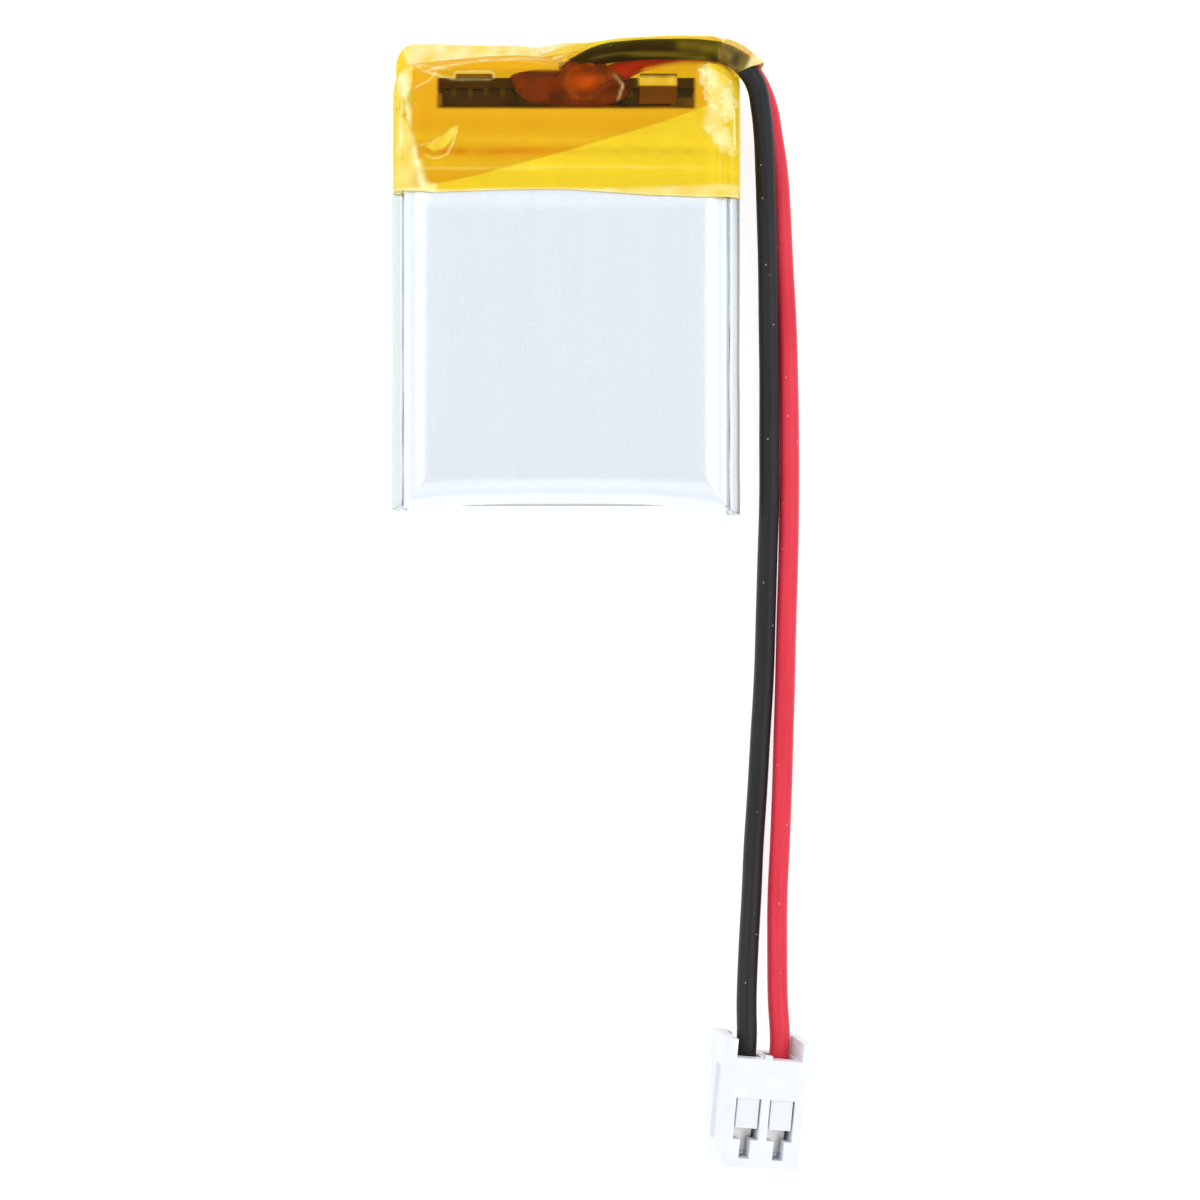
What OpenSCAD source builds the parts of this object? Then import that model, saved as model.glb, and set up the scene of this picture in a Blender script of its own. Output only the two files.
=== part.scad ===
// Single-cell lithium polymer pouch pack: a flat foil-pouch cell, a protection board under a
// polyimide tape cap at one end, and two wires to a 2.0 mm pitch crimp connector.
// The pack lies on its flat back. +Z is up, +Y points to the taped head, and the origin is the
// centre of the pack's own box, at the surface that it lies on.

/* [Cell] */
// Width over the folded side seals
cell_w = 20.5; // [20.3:0.1:20.8]
// Thickness of the pack
cell_t = 5; // [5:0.1:5.4]
// Length from the pouch's bottom corners to the end of the tape
pack_l = 28; // [28:0.1:28.4]
// Thickness of the aluminium laminate
film_t = 0.12; // [0.1:0.01:0.12]
// Radius of the drawn cup's long edges
cup_r = 1.65; // [1.2:0.05:1.8]
// Width beside the cup that each folded seal takes up
seal_strip = 0.62; // [0.55:0.01:0.7]
// Height of the folded side seals
seal_h = 4; // [3:0.1:4]

/* [Tape] */
// Length of the pack that the tape covers
tape_w = 9.1; // [8:0.1:10]
// Thickness of one layer of tape
tape_t = 0.06; // [0.05:0.01:0.06]

/* [Electrodes] */
// Thickness of a coated electrode sheet
electrode_t = 0.16; // [0.1:0.01:0.16]
// Thickness of the separator film
separator_t = 0.05; // [0.03:0.01:0.05]
// Half turns of each sheet in the flat roll
half_turns = 7; // [3:2:7]

/* [Board] */
// Length of the protection board
board_l = 15.2; // [15:0.1:16]
// Height of the board on its edge
board_h = 2; // [1.9:0.05:2]
// Thickness of the board
board_t = 0.6; // [0.4:0.1:0.6]
// Distance of each cell tab from the middle
tab_x = 5.4; // [5:0.1:5.6]
// Width of the cell tabs
tab_w = 2.2; // [2:0.1:2.4]

/* [Wires] */
// Diameter over the insulation
wire_d = 1.2; // [1.1:0.05:1.2]
// Diameter of one copper strand
strand_d = 0.12; // [0.08:0.01:0.13]

/* [Connector] */
// Distance between the two contacts
pitch = 2; // [2:0.1:2.1]
// Width of the housing's body
housing_w = 4.5; // [4.5:0.1:4.7]
// Thickness of the housing
housing_t = 4.5; // [4.4:0.1:4.6]
// Length from the wire entry to the mating end
housing_l = 6.3; // [6.2:0.1:6.6]
// Width over the two ears at the wire entry
ear_w = 5.3; // [5.3:0.1:5.8]
// How far the ears stand out past the wire entry
ear_l = 1.1; // [0.9:0.1:1.3]
// Roll of the housing about its own length, as it lies on one edge
housing_roll = 9; // [0:1:12]
// Turn of the housing in the plane of the surface
housing_yaw = 5.5; // [0:0.5:8]

/* [Hidden] */
$fn = 48;
gap = 0.01;

// Places along the pack, from its bottom corners to the end of the tape
corner_y = -pack_l / 2;
head_y = pack_l / 2;
cup_end_y = corner_y + 0.7;
tape_y = head_y - tape_w;
shoulder_y = head_y - 4;
seal_y = head_y - 2.2;

// The two tape layers lie flush, so the pouch is that much smaller under them
inset = 2 * tape_t;
floor_z = inset + film_t;
edge_x = cell_w / 2;
cup_x = edge_x - seal_strip;
end_r = 1.5;
plan_r = 1.2;

// The wound roll inside the cup, around a flat core
roll_z = cell_t / 2 - 0.1;
roll_core = 0.14;
roll_pitch = 2 * electrode_t + 2 * separator_t + 4 * gap;
roll_half = 7.1;
roll_from = cup_end_y + 0.8;
roll_to = shoulder_y - 0.8;
roll_steps = 10;

// Tabs, with a sealing film round each where it passes through the sealed terrace
tab_t = 0.1;
tab_film_w = 4;
tab_film_t = 0.06;
tab_z = floor_z + tab_film_t + tab_t / 2 + gap;
bump_h = tab_t + 2 * tab_film_t + 3 * gap;
tab_drop_y = roll_to + 0.35;

// The board stands on its edge on the sealed terrace, its parts towards the cell
insulator_t = 0.15;
insulator_z = floor_z + bump_h + film_t + gap;
board_z = insulator_z + insulator_t + gap;
board_y = seal_y - 0.7;
board_out_y = board_y + board_t;
board_top = board_z + board_h;
strip_t = 0.12;
pad_x = 1.3;
tab_up_y = board_out_y + strip_t + tab_t / 2 + 2 * gap;

// Routes of the wires' centrelines, from the board to the connector
black_route = [[0.4, 12.1, 3.7], [2, 12.85, 3.95], [3.8, 13.1, 4.05], [6.2, 13.2, 4],
    [8, 13.15, 4], [9.2, 12.95, 3.95], [10.1, 12.45, 3.85], [10.7, 11.85, 3.7],
    [11.15, 11.05, 3.45], [11.4, 9.9, 3.1], [11.6, 8.3, 2.6], [11.7, 6.5, 2.15],
    [11.8, 4, 1.75], [11.9, 1, 1.45], [11.95, -2.5, 1.25], [12, -6, 1.1], [12, -9.5, 1],
    [12, -13, 0.95], [11.9, -16.5, 0.85], [11.8, -20, 0.8], [11.7, -23.5, 0.65],
    [11.5, -27, 0.6], [11.3, -30.5, 0.6], [11.1, -33.5, 0.65], [10.95, -36.5, 0.95],
    [10.75, -39.5, 1.6], [10.6, -42.5, 2.35]];
red_route = [[2.2, 11.6, 3.5], [3.2, 12.05, 3.3], [4.4, 12.65, 2.9], [5.8, 12.9, 2.7],
    [7.3, 13.1, 2.6], [8.6, 13.15, 2.55], [9.7, 12.95, 2.5], [10.5, 12.5, 2.45],
    [11.1, 11.75, 2.35], [11.55, 10.9, 2.15], [11.9, 9.9, 1.9], [12.2, 8.3, 1.5],
    [12.5, 6.5, 1.1], [12.7, 4, 0.8], [12.85, 1, 0.65], [13.05, -2.5, 0.6],
    [13.15, -6, 0.6], [13.2, -9.5, 0.6], [13.2, -13, 0.6], [13.15, -16.5, 0.6],
    [13.05, -20, 0.6], [12.97, -23.5, 0.6], [12.87, -27, 0.6], [12.77, -30.5, 0.6],
    [12.65, -33.5, 0.65], [12.5, -36.5, 0.9], [12.45, -39.5, 1.45], [12.45, -42.5, 2.1]];
wire_sides = 8;
black_joint = [-1, 11.05, 3.2];
red_joint = [1.4, 11.05, 3.25];
bend_gap = 0.12;

// The housing lies on the edge of one ear. In its own frame +Y points to the wires and +Z to
// the windows, and the origin is the middle of the wire entry
housing_turn = [0, housing_roll, -housing_yaw];
housing_at = [11.5, -45.7, ear_w / 2 * sin(housing_roll) + housing_t / 2 * cos(housing_roll)];
cavity_w = 1.5;
cavity_h = 2.2;
cavity_end = 0.7;
pin_hole = 1;
window_y = -2.3;
window_l = 2.4;
lance_l = 1.75;
lance_t = 0.45;
slot_w = 0.62;
slot_l = 1.1;
wire_room = 1.9;
stripped_y = -1.25;
strand_end_y = -2.5;
contact_wall = 0.15;
contact_w = 1.2;
contact_h = 1.6;

// Turns a vector about the Y axis, then about the Z axis
function rolled(p, a) = [p[0] * cos(a) + p[2] * sin(a), p[1], p[2] * cos(a) - p[0] * sin(a)];
function yawed(p, a) = [p[0] * cos(a) - p[1] * sin(a), p[0] * sin(a) + p[1] * cos(a), p[2]];
function in_housing(p) = housing_at + yawed(rolled(p, housing_roll), -housing_yaw);

// The whole centreline of a wire, with its last stretch straight into the housing
function wire_path(route, x) =
    concat(route, [in_housing([x, 0.7, 0]), in_housing([x, stripped_y, 0])]);

// The outward direction at the corner q between two edges, as long as the mitre needs
function unit(v) = v / norm(v);
function side(p, q) = let (d = unit(q - p)) [d[1], -d[0]];
function mitre(p, q, r) = let (n = side(p, q), m = side(q, r)) (n + m) / (1 + n * m);

// A closed outline moved in by t, with its corners in counter-clockwise order
function moved_in(points, t) = let (k = len(points))
    [for (i = [0:k - 1]) points[i] - t * mitre(points[(i + k - 1) % k], points[i],
        points[(i + 1) % k])];

// One side of a bent line, t away from it
function beside(line, t) = let (k = len(line))
    [for (i = [0:k - 1]) line[i] + t * (
        i == 0 ? side(line[0], line[1])
        : i == k - 1 ? side(line[k - 2], line[k - 1])
        : mitre(line[i - 1], line[i], line[i + 1]))];
function backwards(list) = [for (i = [len(list) - 1:-1:0]) list[i]];

// Points of a flat spiral that starts r away from the core
function spiral(r) =
    [for (h = [0:half_turns - 1], s = [0:roll_steps])
        let (a = 180 * (h + s / roll_steps) - 90, d = r + roll_pitch * (a + 90) / 360)
        [(h % 2 == 0 ? roll_half : -roll_half) + d * cos(a), d * sin(a)]];

// A rectangle w wide and h high on the X axis, with its two upper corners rounded to r
module rounded_top(w, h, r) {
    translate([-w / 2, 0])
        square([w, h - r]);
    translate([r - w / 2, 0])
        square([w - 2 * r, h]);
    for (x = [r - w / 2, w / 2 - r])
        translate([x, h - r])
            circle(r);
}

// A centred rectangle with all its corners rounded to r
module rounded_plan(w, l, r) {
    square([w - 2 * r, l], center = true);
    square([w, l - 2 * r], center = true);
    for (x = [r - w / 2, w / 2 - r], y = [r - l / 2, l / 2 - r])
        translate([x, y])
            circle(r);
}

// Extrudes a drawing of X and Z along Y
module along_y(from, to) {
    translate([0, to, 0])
        rotate([90, 0, 0])
            linear_extrude(to - from)
                children();
}

// Extrudes a drawing of Y and Z along X, w wide and centred
module across_x(w) {
    rotate([90, 0, 90])
        linear_extrude(w, center = true)
            children();
}

// A block between two opposite corners
module block(low, high) {
    translate(low)
        cube(high - low);
}

// The same on both sides of the pack
module both_sides() {
    for (turn = [0, 1])
        mirror([turn, 0, 0])
            children();
}

// The drawn cup as a solid, t smaller all round, and smaller again under the tape
module cup_form(t) {
    middle_y = (shoulder_y + cup_end_y) / 2;
    length = shoulder_y - cup_end_y - 2 * t;
    intersection() {
        union() {
            along_y(cup_end_y, tape_y - t)
                rounded_top(2 * cup_x - 2 * t, cell_t - t, cup_r - t);
            along_y(cup_end_y, shoulder_y)
                rounded_top(2 * cup_x - 2 * inset - 2 * t, cell_t - inset - t, cup_r - t);
        }
        across_x(cell_w)
            translate([middle_y, 0])
                rounded_top(length, cell_t - t, end_r - t);
        linear_extrude(cell_t)
            translate([0, middle_y])
                rounded_plan(2 * cup_x - 2 * t, length, plan_r - t);
    }
}

// The cup's side seal: a skirt on the floor and a film folded up, x being its outer face
module cup_seal(from, to, x, z, top) {
    block([cup_x - inset - film_t, from, z], [x, to, z + film_t]);
    block([x - film_t, from, z], [x, to, top]);
}

// The raised pockets that the sealed tabs leave in the terrace film, t thick
module terrace_pockets(t) {
    for (x = [-tab_x, tab_x])
        block([x - tab_film_w / 2 - 3 * gap - t, shoulder_y - film_t - gap, floor_z - gap],
            [x + tab_film_w / 2 + 3 * gap + t, seal_y + gap, floor_z + bump_h + t]);
}

// The drawn tray of aluminium laminate, with its terrace and its folded side seals
module pouch_cup() {
    step_y = tape_y - film_t;
    outer_x = edge_x - film_t;
    color([0.87, 0.9, 0.95])
        difference() {
            union() {
                difference() {
                    cup_form(0);
                    cup_form(film_t);
                }
                both_sides() {
                    cup_seal(corner_y, step_y, outer_x, film_t, seal_h);
                    cup_seal(step_y - film_t, shoulder_y, outer_x - inset, floor_z,
                        seal_h - inset);
                    block([outer_x - inset - film_t, step_y - film_t, film_t],
                        [outer_x, step_y, seal_h - inset]);
                }
                block([inset + film_t - edge_x, shoulder_y - film_t, floor_z],
                    [edge_x - inset - film_t, seal_y, floor_z + film_t]);
                intersection() {
                    terrace_pockets(film_t);
                    block([-edge_x, shoulder_y - film_t, floor_z], [edge_x, seal_y, cell_t]);
                }
            }
            block([-edge_x - 1, corner_y - 1, -1], [edge_x + 1, step_y, film_t]);
            block([-edge_x - 1, step_y - gap, -1], [edge_x + 1, head_y, floor_z]);
            terrace_pockets(0);
        }
}

// The flat back sheet, folded up outside the cup's seals
module pouch_cover() {
    step_y = tape_y - film_t;
    color([0.83, 0.86, 0.9]) {
        block([-edge_x, cup_end_y, 0], [edge_x, tape_y, film_t]);
        block([inset - edge_x, step_y, 0], [edge_x - inset, tape_y, floor_z]);
        block([inset - edge_x, step_y, inset], [edge_x - inset, seal_y, floor_z]);
        both_sides() {
            block([cup_x - inset, corner_y, 0], [edge_x, tape_y, film_t]);
            block([edge_x - film_t, corner_y, 0], [edge_x, tape_y, seal_h]);
            block([edge_x - inset - film_t, step_y, 0], [edge_x, tape_y, seal_h - inset]);
            block([edge_x - inset - film_t, step_y, inset],
                [edge_x - inset, shoulder_y, seal_h - inset]);
        }
    }
}

// One sheet of the roll, t thick, that starts r away from the core
module rolled_sheet(r, t) {
    translate([0, 0, roll_z])
        along_y(roll_from, roll_to)
            polygon(concat(spiral(r + t), backwards(spiral(r))));
}

module inner_separator() {
    color([0.95, 0.95, 0.93])
        rolled_sheet(roll_core, separator_t);
}

module cathode_sheet() {
    color([0.18, 0.18, 0.2])
        rolled_sheet(roll_core + separator_t + gap, electrode_t);
}

module outer_separator() {
    color([0.95, 0.95, 0.93])
        rolled_sheet(roll_core + separator_t + electrode_t + 2 * gap, separator_t);
}

module anode_sheet() {
    color([0.12, 0.12, 0.13])
        rolled_sheet(roll_core + 2 * separator_t + electrode_t + 3 * gap, electrode_t);
}

// The strip that holds the end of the roll down, on its flat
module winding_tape() {
    top = roll_core + roll_pitch * (half_turns + 2) / 2;
    color([0.35, 0.7, 0.4])
        block([3, roll_from + 3, roll_z + top], [roll_half, roll_to - 3, roll_z + top + 0.04]);
}

// A tab bent along a line of Y and Z
module tab(x, line) {
    translate([x, 0, 0])
        across_x(tab_w)
            polygon(concat(beside(line, tab_t / 2), backwards(beside(line, -tab_t / 2))));
}

// The part of the line that both tabs share: out of the core, through the seal and up
tab_line = [[2, roll_z], [tab_drop_y - 0.1, roll_z], [tab_drop_y, roll_z - 0.1],
    [tab_drop_y, tab_z + 0.1], [tab_drop_y + 0.1, tab_z], [tab_up_y, tab_z]];

module negative_tab() {
    color([0.75, 0.74, 0.7])
        tab(-tab_x, concat(tab_line, [[tab_up_y, board_top - 0.05]]));
}

// This tab is longer, and lies over the board's edge and the chip
module positive_tab() {
    over_z = board_top + tab_t / 2 + 2 * gap;
    color([0.85, 0.85, 0.86])
        tab(tab_x, concat(tab_line, [[tab_up_y, over_z], [shoulder_y + 0.15, over_z]]));
}

// A sealing film round one tab
module tab_film(x) {
    difference() {
        block([x - tab_film_w / 2, tab_drop_y + 0.2, floor_z + gap],
            [x + tab_film_w / 2, seal_y, floor_z + bump_h - gap]);
        block([x - tab_w / 2 - gap, tab_drop_y, tab_z - tab_t / 2 - gap / 2],
            [x + tab_w / 2 + gap, head_y, tab_z + tab_t / 2 + gap / 2]);
    }
}

module negative_tab_film() {
    color([0.12, 0.12, 0.12])
        tab_film(-tab_x);
}

module positive_tab_film() {
    color([0.12, 0.12, 0.12])
        tab_film(tab_x);
}

// The strip that keeps the board off the foil
module board_insulator() {
    color([0.9, 0.88, 0.8])
        block([-board_l / 2 - 0.2, shoulder_y + 0.05, insulator_z],
            [board_l / 2 + 0.2, seal_y, insulator_z + insulator_t]);
}

module circuit_board() {
    color([0.06, 0.1, 0.08])
        block([-board_l / 2, board_y, board_z], [board_l / 2, board_out_y, board_top]);
}

// A chip package on the board's inner face, w wide
module chip_body(x, w) {
    middle_z = board_z + board_h / 2;
    block([x - w / 2, shoulder_y + 0.12, middle_z - 0.75],
        [x + w / 2, board_y - 0.1, middle_z + 0.75]);
}

module mosfet_chip() {
    color([0.08, 0.08, 0.09])
        chip_body(-5.2, 4.2);
}

module protection_chip() {
    color([0.08, 0.08, 0.09])
        chip_body(4.7, 2.9);
}

// The bent leads of one chip, n on each long side
module lead_rows(x, n, step) {
    middle_z = board_z + board_h / 2;
    for (i = [0:n - 1], turn = [-1, 1])
        translate([x + (i - (n - 1) / 2) * step, 0, middle_z])
            for (part = [[0.76, 0.86, 0.5, 0.4], [0.8, 0.88, 0.4, 0.02], [0.8, 0.98, 0.12, 0.02]])
                block([-0.15, board_y - part[2], turn > 0 ? part[0] : -part[1]],
                    [0.15, board_y - part[3], turn > 0 ? part[1] : -part[0]]);
}

module chip_leads() {
    color([0.8, 0.8, 0.82]) {
        lead_rows(-5.2, 4, 0.95);
        lead_rows(4.7, 3, 0.95);
    }
}

// A small two-ended part on the board's inner face
module chip_part(x, z) {
    block([x - 0.5, board_y - 0.37, z - 0.25], [x + 0.5, board_y - 0.02, z + 0.25]);
}

module chip_resistors() {
    color([0.1, 0.1, 0.12]) {
        chip_part(-1.35, board_z + 0.5);
        chip_part(1.35, board_z + 0.5);
        chip_part(6.9, board_z + 1.1);
    }
}

module chip_capacitor() {
    color([0.7, 0.6, 0.45])
        chip_part(0, board_z + 0.5);
}

// The two nickel pads on the board's outer face that the tabs are welded to
module weld_strips() {
    color([0.72, 0.71, 0.68])
        for (x = [-tab_x, tab_x])
            block([x - tab_w / 2, board_out_y + gap, board_z + 0.2],
                [x + tab_w / 2, board_out_y + gap + strip_t, board_top - 0.2]);
}

// A solder joint that wraps the board's inner edge, below the end of a stripped wire
module solder(x) {
    difference() {
        translate([x, board_y - 0.2, board_top - 0.3])
            sphere(0.6);
        block([x - 1, board_y - gap, board_z], [x + 1, board_out_y, board_top + gap]);
    }
}

module negative_solder() {
    color([0.8, 0.8, 0.8])
        solder(-pad_x);
}

module positive_solder() {
    color([0.8, 0.8, 0.8])
        solder(pad_x);
}

// The space inside the tape cap, t in from its outside. Its plan has two cut corners
module tape_form(t, mouth) {
    section = [[-edge_x, 0], [edge_x, 0], [edge_x, cell_t - 1], [edge_x - 1.65, cell_t],
        [1.65 - edge_x, cell_t], [-edge_x, cell_t - 1]];
    profile = [[mouth, 0], [head_y - 1.6, 0], [head_y, 1.4], [head_y, cell_t - 0.6],
        [head_y - 1, cell_t], [mouth, cell_t]];
    plan = [[-edge_x, mouth], [edge_x, mouth], [edge_x, head_y - 1.9], [edge_x - 1, head_y],
        [1 - edge_x, head_y], [-edge_x, head_y - 1.9]];
    intersection() {
        along_y(mouth, head_y)
            polygon(moved_in(section, t));
        across_x(cell_w)
            polygon(moved_in(profile, t));
        linear_extrude(cell_t)
            polygon(moved_in(plan, t));
    }
}

// The first piece of tape, folded over the board end and open at its sides
module inner_tape() {
    color([0.93, 0.62, 0.08, 0.6])
        difference() {
            tape_form(tape_t, tape_y + 2.2);
            tape_form(2 * tape_t - gap, tape_y - 2);
            block([8.6, tape_y, -1], [edge_x, head_y, cell_t + 1]);
            block([-edge_x, tape_y, -1], [-9, head_y, cell_t + 1]);
        }
}

// The cap of tape over the whole head, open at the corner where the wires come out
module outer_tape() {
    color([0.93, 0.75, 0.12, 0.6])
        difference() {
            tape_form(0, tape_y);
            tape_form(tape_t - gap, tape_y - 2);
            block([8.7, 11.2, 1.6], [edge_x + 1, head_y + 1, cell_t - 0.35]);
        }
}

// The short sleeve of tape round both wires at the corner
module wire_tape() {
    color([0.93, 0.75, 0.12, 0.6])
        translate([9.85, 12.78, 0])
            rotate([0, 0, -118])
                along_y(-0.45, 0.45)
                    difference() {
                        sleeve(0.86);
                        sleeve(0.8);
                    }
}

// A tall round-ended outline about the two wires
module sleeve(r) {
    translate([-r, 2.5])
        square([2 * r, 1.4]);
    for (z = [2.5, 3.9])
        translate([0, z])
            circle(r);
}

// One ring of corners about the point p of a wire that runs on towards d
function ring(p, d) = let (u = unit(cross(d, [0, 0, 1])), v = cross(u, d))
    [for (i = [0:wire_sides - 1])
        let (a = 360 * (i + 0.5) / wire_sides)
        p + wire_d / 2 * (cos(a) * u + sin(a) * v)];

// Sweeps the wire's insulation along its whole centreline as one closed surface
module wire(path) {
    k = len(path);
    rings = [for (i = [0:k - 1])
        ring(path[i], unit(path[min(i + 1, k - 1)] - path[max(i - 1, 0)]))];
    sides = [for (i = [0:k - 2], j = [0:wire_sides - 1])
        let (n = (j + 1) % wire_sides)
        [i * wire_sides + j, (i + 1) * wire_sides + j, (i + 1) * wire_sides + n,
            i * wire_sides + n]];
    first = [for (j = [0:wire_sides - 1]) j];
    last = [for (j = [wire_sides - 1:-1:0]) (k - 1) * wire_sides + j];
    polyhedron([for (r = rings) for (p = r) p], concat([first], sides, [last]), convexity = 8);
}

module black_wire() {
    color([0.1, 0.1, 0.11])
        wire(wire_path(black_route, -pitch / 2));
}

module red_wire() {
    color([0.8, 0.1, 0.12])
        wire(wire_path(red_route, pitch / 2));
}

// Seven copper strands side by side between two points, away from both
module strands(from, to, away) {
    d = unit(to - from);
    translate(from)
        rotate([0, acos(d[2]), atan2(d[1], d[0])])
            for (i = [0:6])
                rotate(60 * i)
                    translate([i == 6 ? 0 : strand_d + gap, 0, away])
                        cylinder(h = norm(to - from) - away - gap, d = strand_d, $fn = 12);
}

// Both stripped ends of one wire, at the board and in the contact
module stripped_ends(route, joint, x) {
    strands(route[0], joint, bend_gap);
    strands(in_housing([x, stripped_y, 0]), in_housing([x, strand_end_y, 0]), gap);
}

module black_strands() {
    color([0.85, 0.5, 0.3])
        stripped_ends(black_route, black_joint, -pitch / 2);
}

module red_strands() {
    color([0.85, 0.5, 0.3])
        stripped_ends(red_route, red_joint, pitch / 2);
}

// Puts what follows in the housing's own place
module housing_place() {
    translate(housing_at)
        rotate(housing_turn)
            children();
}

// The outline of the housing's body with its two ears
module housing_plan() {
    w = housing_w / 2;
    e = ear_w / 2;
    polygon([[-w, -housing_l], [w, -housing_l], [w, -0.95], [e, -0.55], [e, ear_l - 0.15],
        [e - 0.15, ear_l], [e - 0.9, ear_l], [e - 1.35, 0.35], [e - 1.45, 0], [1.45 - e, 0],
        [1.35 - e, 0.35], [0.9 - e, ear_l], [0.15 - e, ear_l], [-e, ear_l - 0.15],
        [-e, -0.55], [-w, -0.95]]);
}

// The two cavities, each with its window, slot, pin hole and open room between the ears
module housing_cavities() {
    top = housing_t / 2 + 1;
    for (x = [-pitch / 2, pitch / 2]) {
        block([x - cavity_w / 2, cavity_end - housing_l, -cavity_h / 2],
            [x + cavity_w / 2, 1, cavity_h / 2]);
        block([x - cavity_w / 2, window_y - window_l, 0], [x + cavity_w / 2, window_y, top]);
        block([x - slot_w / 2, window_y - window_l - slot_l, 0],
            [x + slot_w / 2, window_y, top]);
        block([x - wire_room / 2, 0, -cavity_h / 2], [x + wire_room / 2, ear_l + 1, top]);
        block([x - pin_hole / 2, -housing_l - 1, -pin_hole / 2],
            [x + pin_hole / 2, 0, pin_hole / 2]);
    }
}

module connector_housing() {
    top = housing_t / 2;
    color([0.95, 0.96, 0.97])
        housing_place() {
            difference() {
                union() {
                    translate([0, 0, -top])
                        linear_extrude(housing_t)
                            housing_plan();
                    for (turn = [0, 1])
                        mirror([turn, 0, 0])
                            translate([0, 0, -top])
                                linear_extrude(1.3)
                                    polygon([[housing_w / 2 - 0.1, -5.3],
                                        [housing_w / 2, -5.3], [housing_w / 2 + 0.25, -5.05],
                                        [housing_w / 2 + 0.25, -0.7],
                                        [housing_w / 2 - 0.1, -0.7]]);
                }
                housing_cavities();
            }
            for (x = [-pitch / 2, pitch / 2])
                block([x - cavity_w / 2 + 0.1, window_y - lance_l, top - lance_t - 0.15],
                    [x + cavity_w / 2 - 0.1, window_y + 0.1, top - 0.15]);
            block([-0.22, -0.4, top - 0.7], [0.22, 0.22, top - 0.2]);
        }
}

// A ring round the wire, with its foot on the contact's spine
module crimp(from, to, hole_r, outer_r) {
    along_y(from, to)
        difference() {
            union() {
                circle(outer_r);
                translate([-0.25, -contact_h / 2])
                    square([0.5, contact_h / 2]);
            }
            circle(hole_r);
        }
}

// A stamped contact: a square socket, a spine and two crimps
module terminal(x) {
    low = -contact_h / 2;
    housing_place()
        translate([x, 0, 0]) {
            difference() {
                block([-contact_w / 2, -5.5, low], [contact_w / 2, -2.9, contact_h / 2]);
                block([contact_wall - contact_w / 2, -6, low + contact_wall],
                    [contact_w / 2 - contact_wall, -2, contact_h / 2 - contact_wall]);
            }
            block([-0.3, -3, low], [0.3, -0.3, low + contact_wall]);
            crimp(-2.4, -1.6, 0.22, 0.4);
            crimp(-1.15, -0.3, 0.62, 0.72);
        }
}

module black_terminal() {
    color([0.85, 0.8, 0.7])
        terminal(-pitch / 2);
}

module red_terminal() {
    color([0.85, 0.8, 0.7])
        terminal(pitch / 2);
}

pouch_cup();
pouch_cover();
cathode_sheet();
anode_sheet();
inner_separator();
outer_separator();
winding_tape();
negative_tab();
positive_tab();
negative_tab_film();
positive_tab_film();
board_insulator();
circuit_board();
mosfet_chip();
protection_chip();
chip_leads();
chip_resistors();
chip_capacitor();
weld_strips();
negative_solder();
positive_solder();
inner_tape();
outer_tape();
wire_tape();
black_wire();
red_wire();
black_strands();
red_strands();
connector_housing();
black_terminal();
red_terminal();
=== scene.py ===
import math

import bmesh
import bpy
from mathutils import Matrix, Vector, noise


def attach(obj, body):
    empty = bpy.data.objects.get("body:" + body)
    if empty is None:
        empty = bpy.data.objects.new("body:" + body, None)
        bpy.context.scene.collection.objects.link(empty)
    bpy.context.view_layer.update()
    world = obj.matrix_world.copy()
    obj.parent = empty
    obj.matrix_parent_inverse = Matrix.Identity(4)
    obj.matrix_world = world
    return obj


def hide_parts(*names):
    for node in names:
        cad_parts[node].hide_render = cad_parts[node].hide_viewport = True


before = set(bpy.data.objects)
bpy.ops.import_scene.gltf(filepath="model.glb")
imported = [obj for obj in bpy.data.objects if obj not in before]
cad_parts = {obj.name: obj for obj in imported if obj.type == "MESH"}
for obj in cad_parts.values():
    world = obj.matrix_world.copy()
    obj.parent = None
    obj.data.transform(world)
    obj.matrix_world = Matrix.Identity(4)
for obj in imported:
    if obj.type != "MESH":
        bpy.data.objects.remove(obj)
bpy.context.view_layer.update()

MM = 0.001

# Sizes in mm, in the CAD frame: +X right, +Y to the taped head, +Z up.
# The pouch's drawn cup: half its width, its two ends, its height and its edge radius
CUP_X = 9.62
CUP_END = -13.3
SHOULDER = 10.0
CUP_TOP = 4.93
EDGE_R = 1.65
FOIL_THICK = 0.11
# The side and the bottom end of each folded seal
SEALS = ((1, -13.93), (-1, -13.66))
# Where the cup's seals and the cover's seals stop, under the tape
CUP_SEAL_STOP = 9.9
COVER_SEAL_STOP = 4.8
# The front sheet's flat flap past the cup, over the tabs: half its width and its two ends
FLAP_HALF, FLAP_LOW, FLAP_HIGH = 9.9, 9.85, 11.8

# The tape: half its width, its height, its edge radius and each film's thickness
TAPE_HALF = 10.15
TAPE_TOP = 5.05
TAPE_EDGE_R = 1.75
OUTER_THICK = 0.055
INNER_THICK = 0.04
MOUTH_THICK = 0.05
# The dark board under the film: half its width and its two ends
BOARD_HALF, BOARD_LOW, BOARD_HIGH = 7.65, 9.48, 12.1

# The wires, and where each one leaves the film
WIRE_R = 0.6

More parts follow.
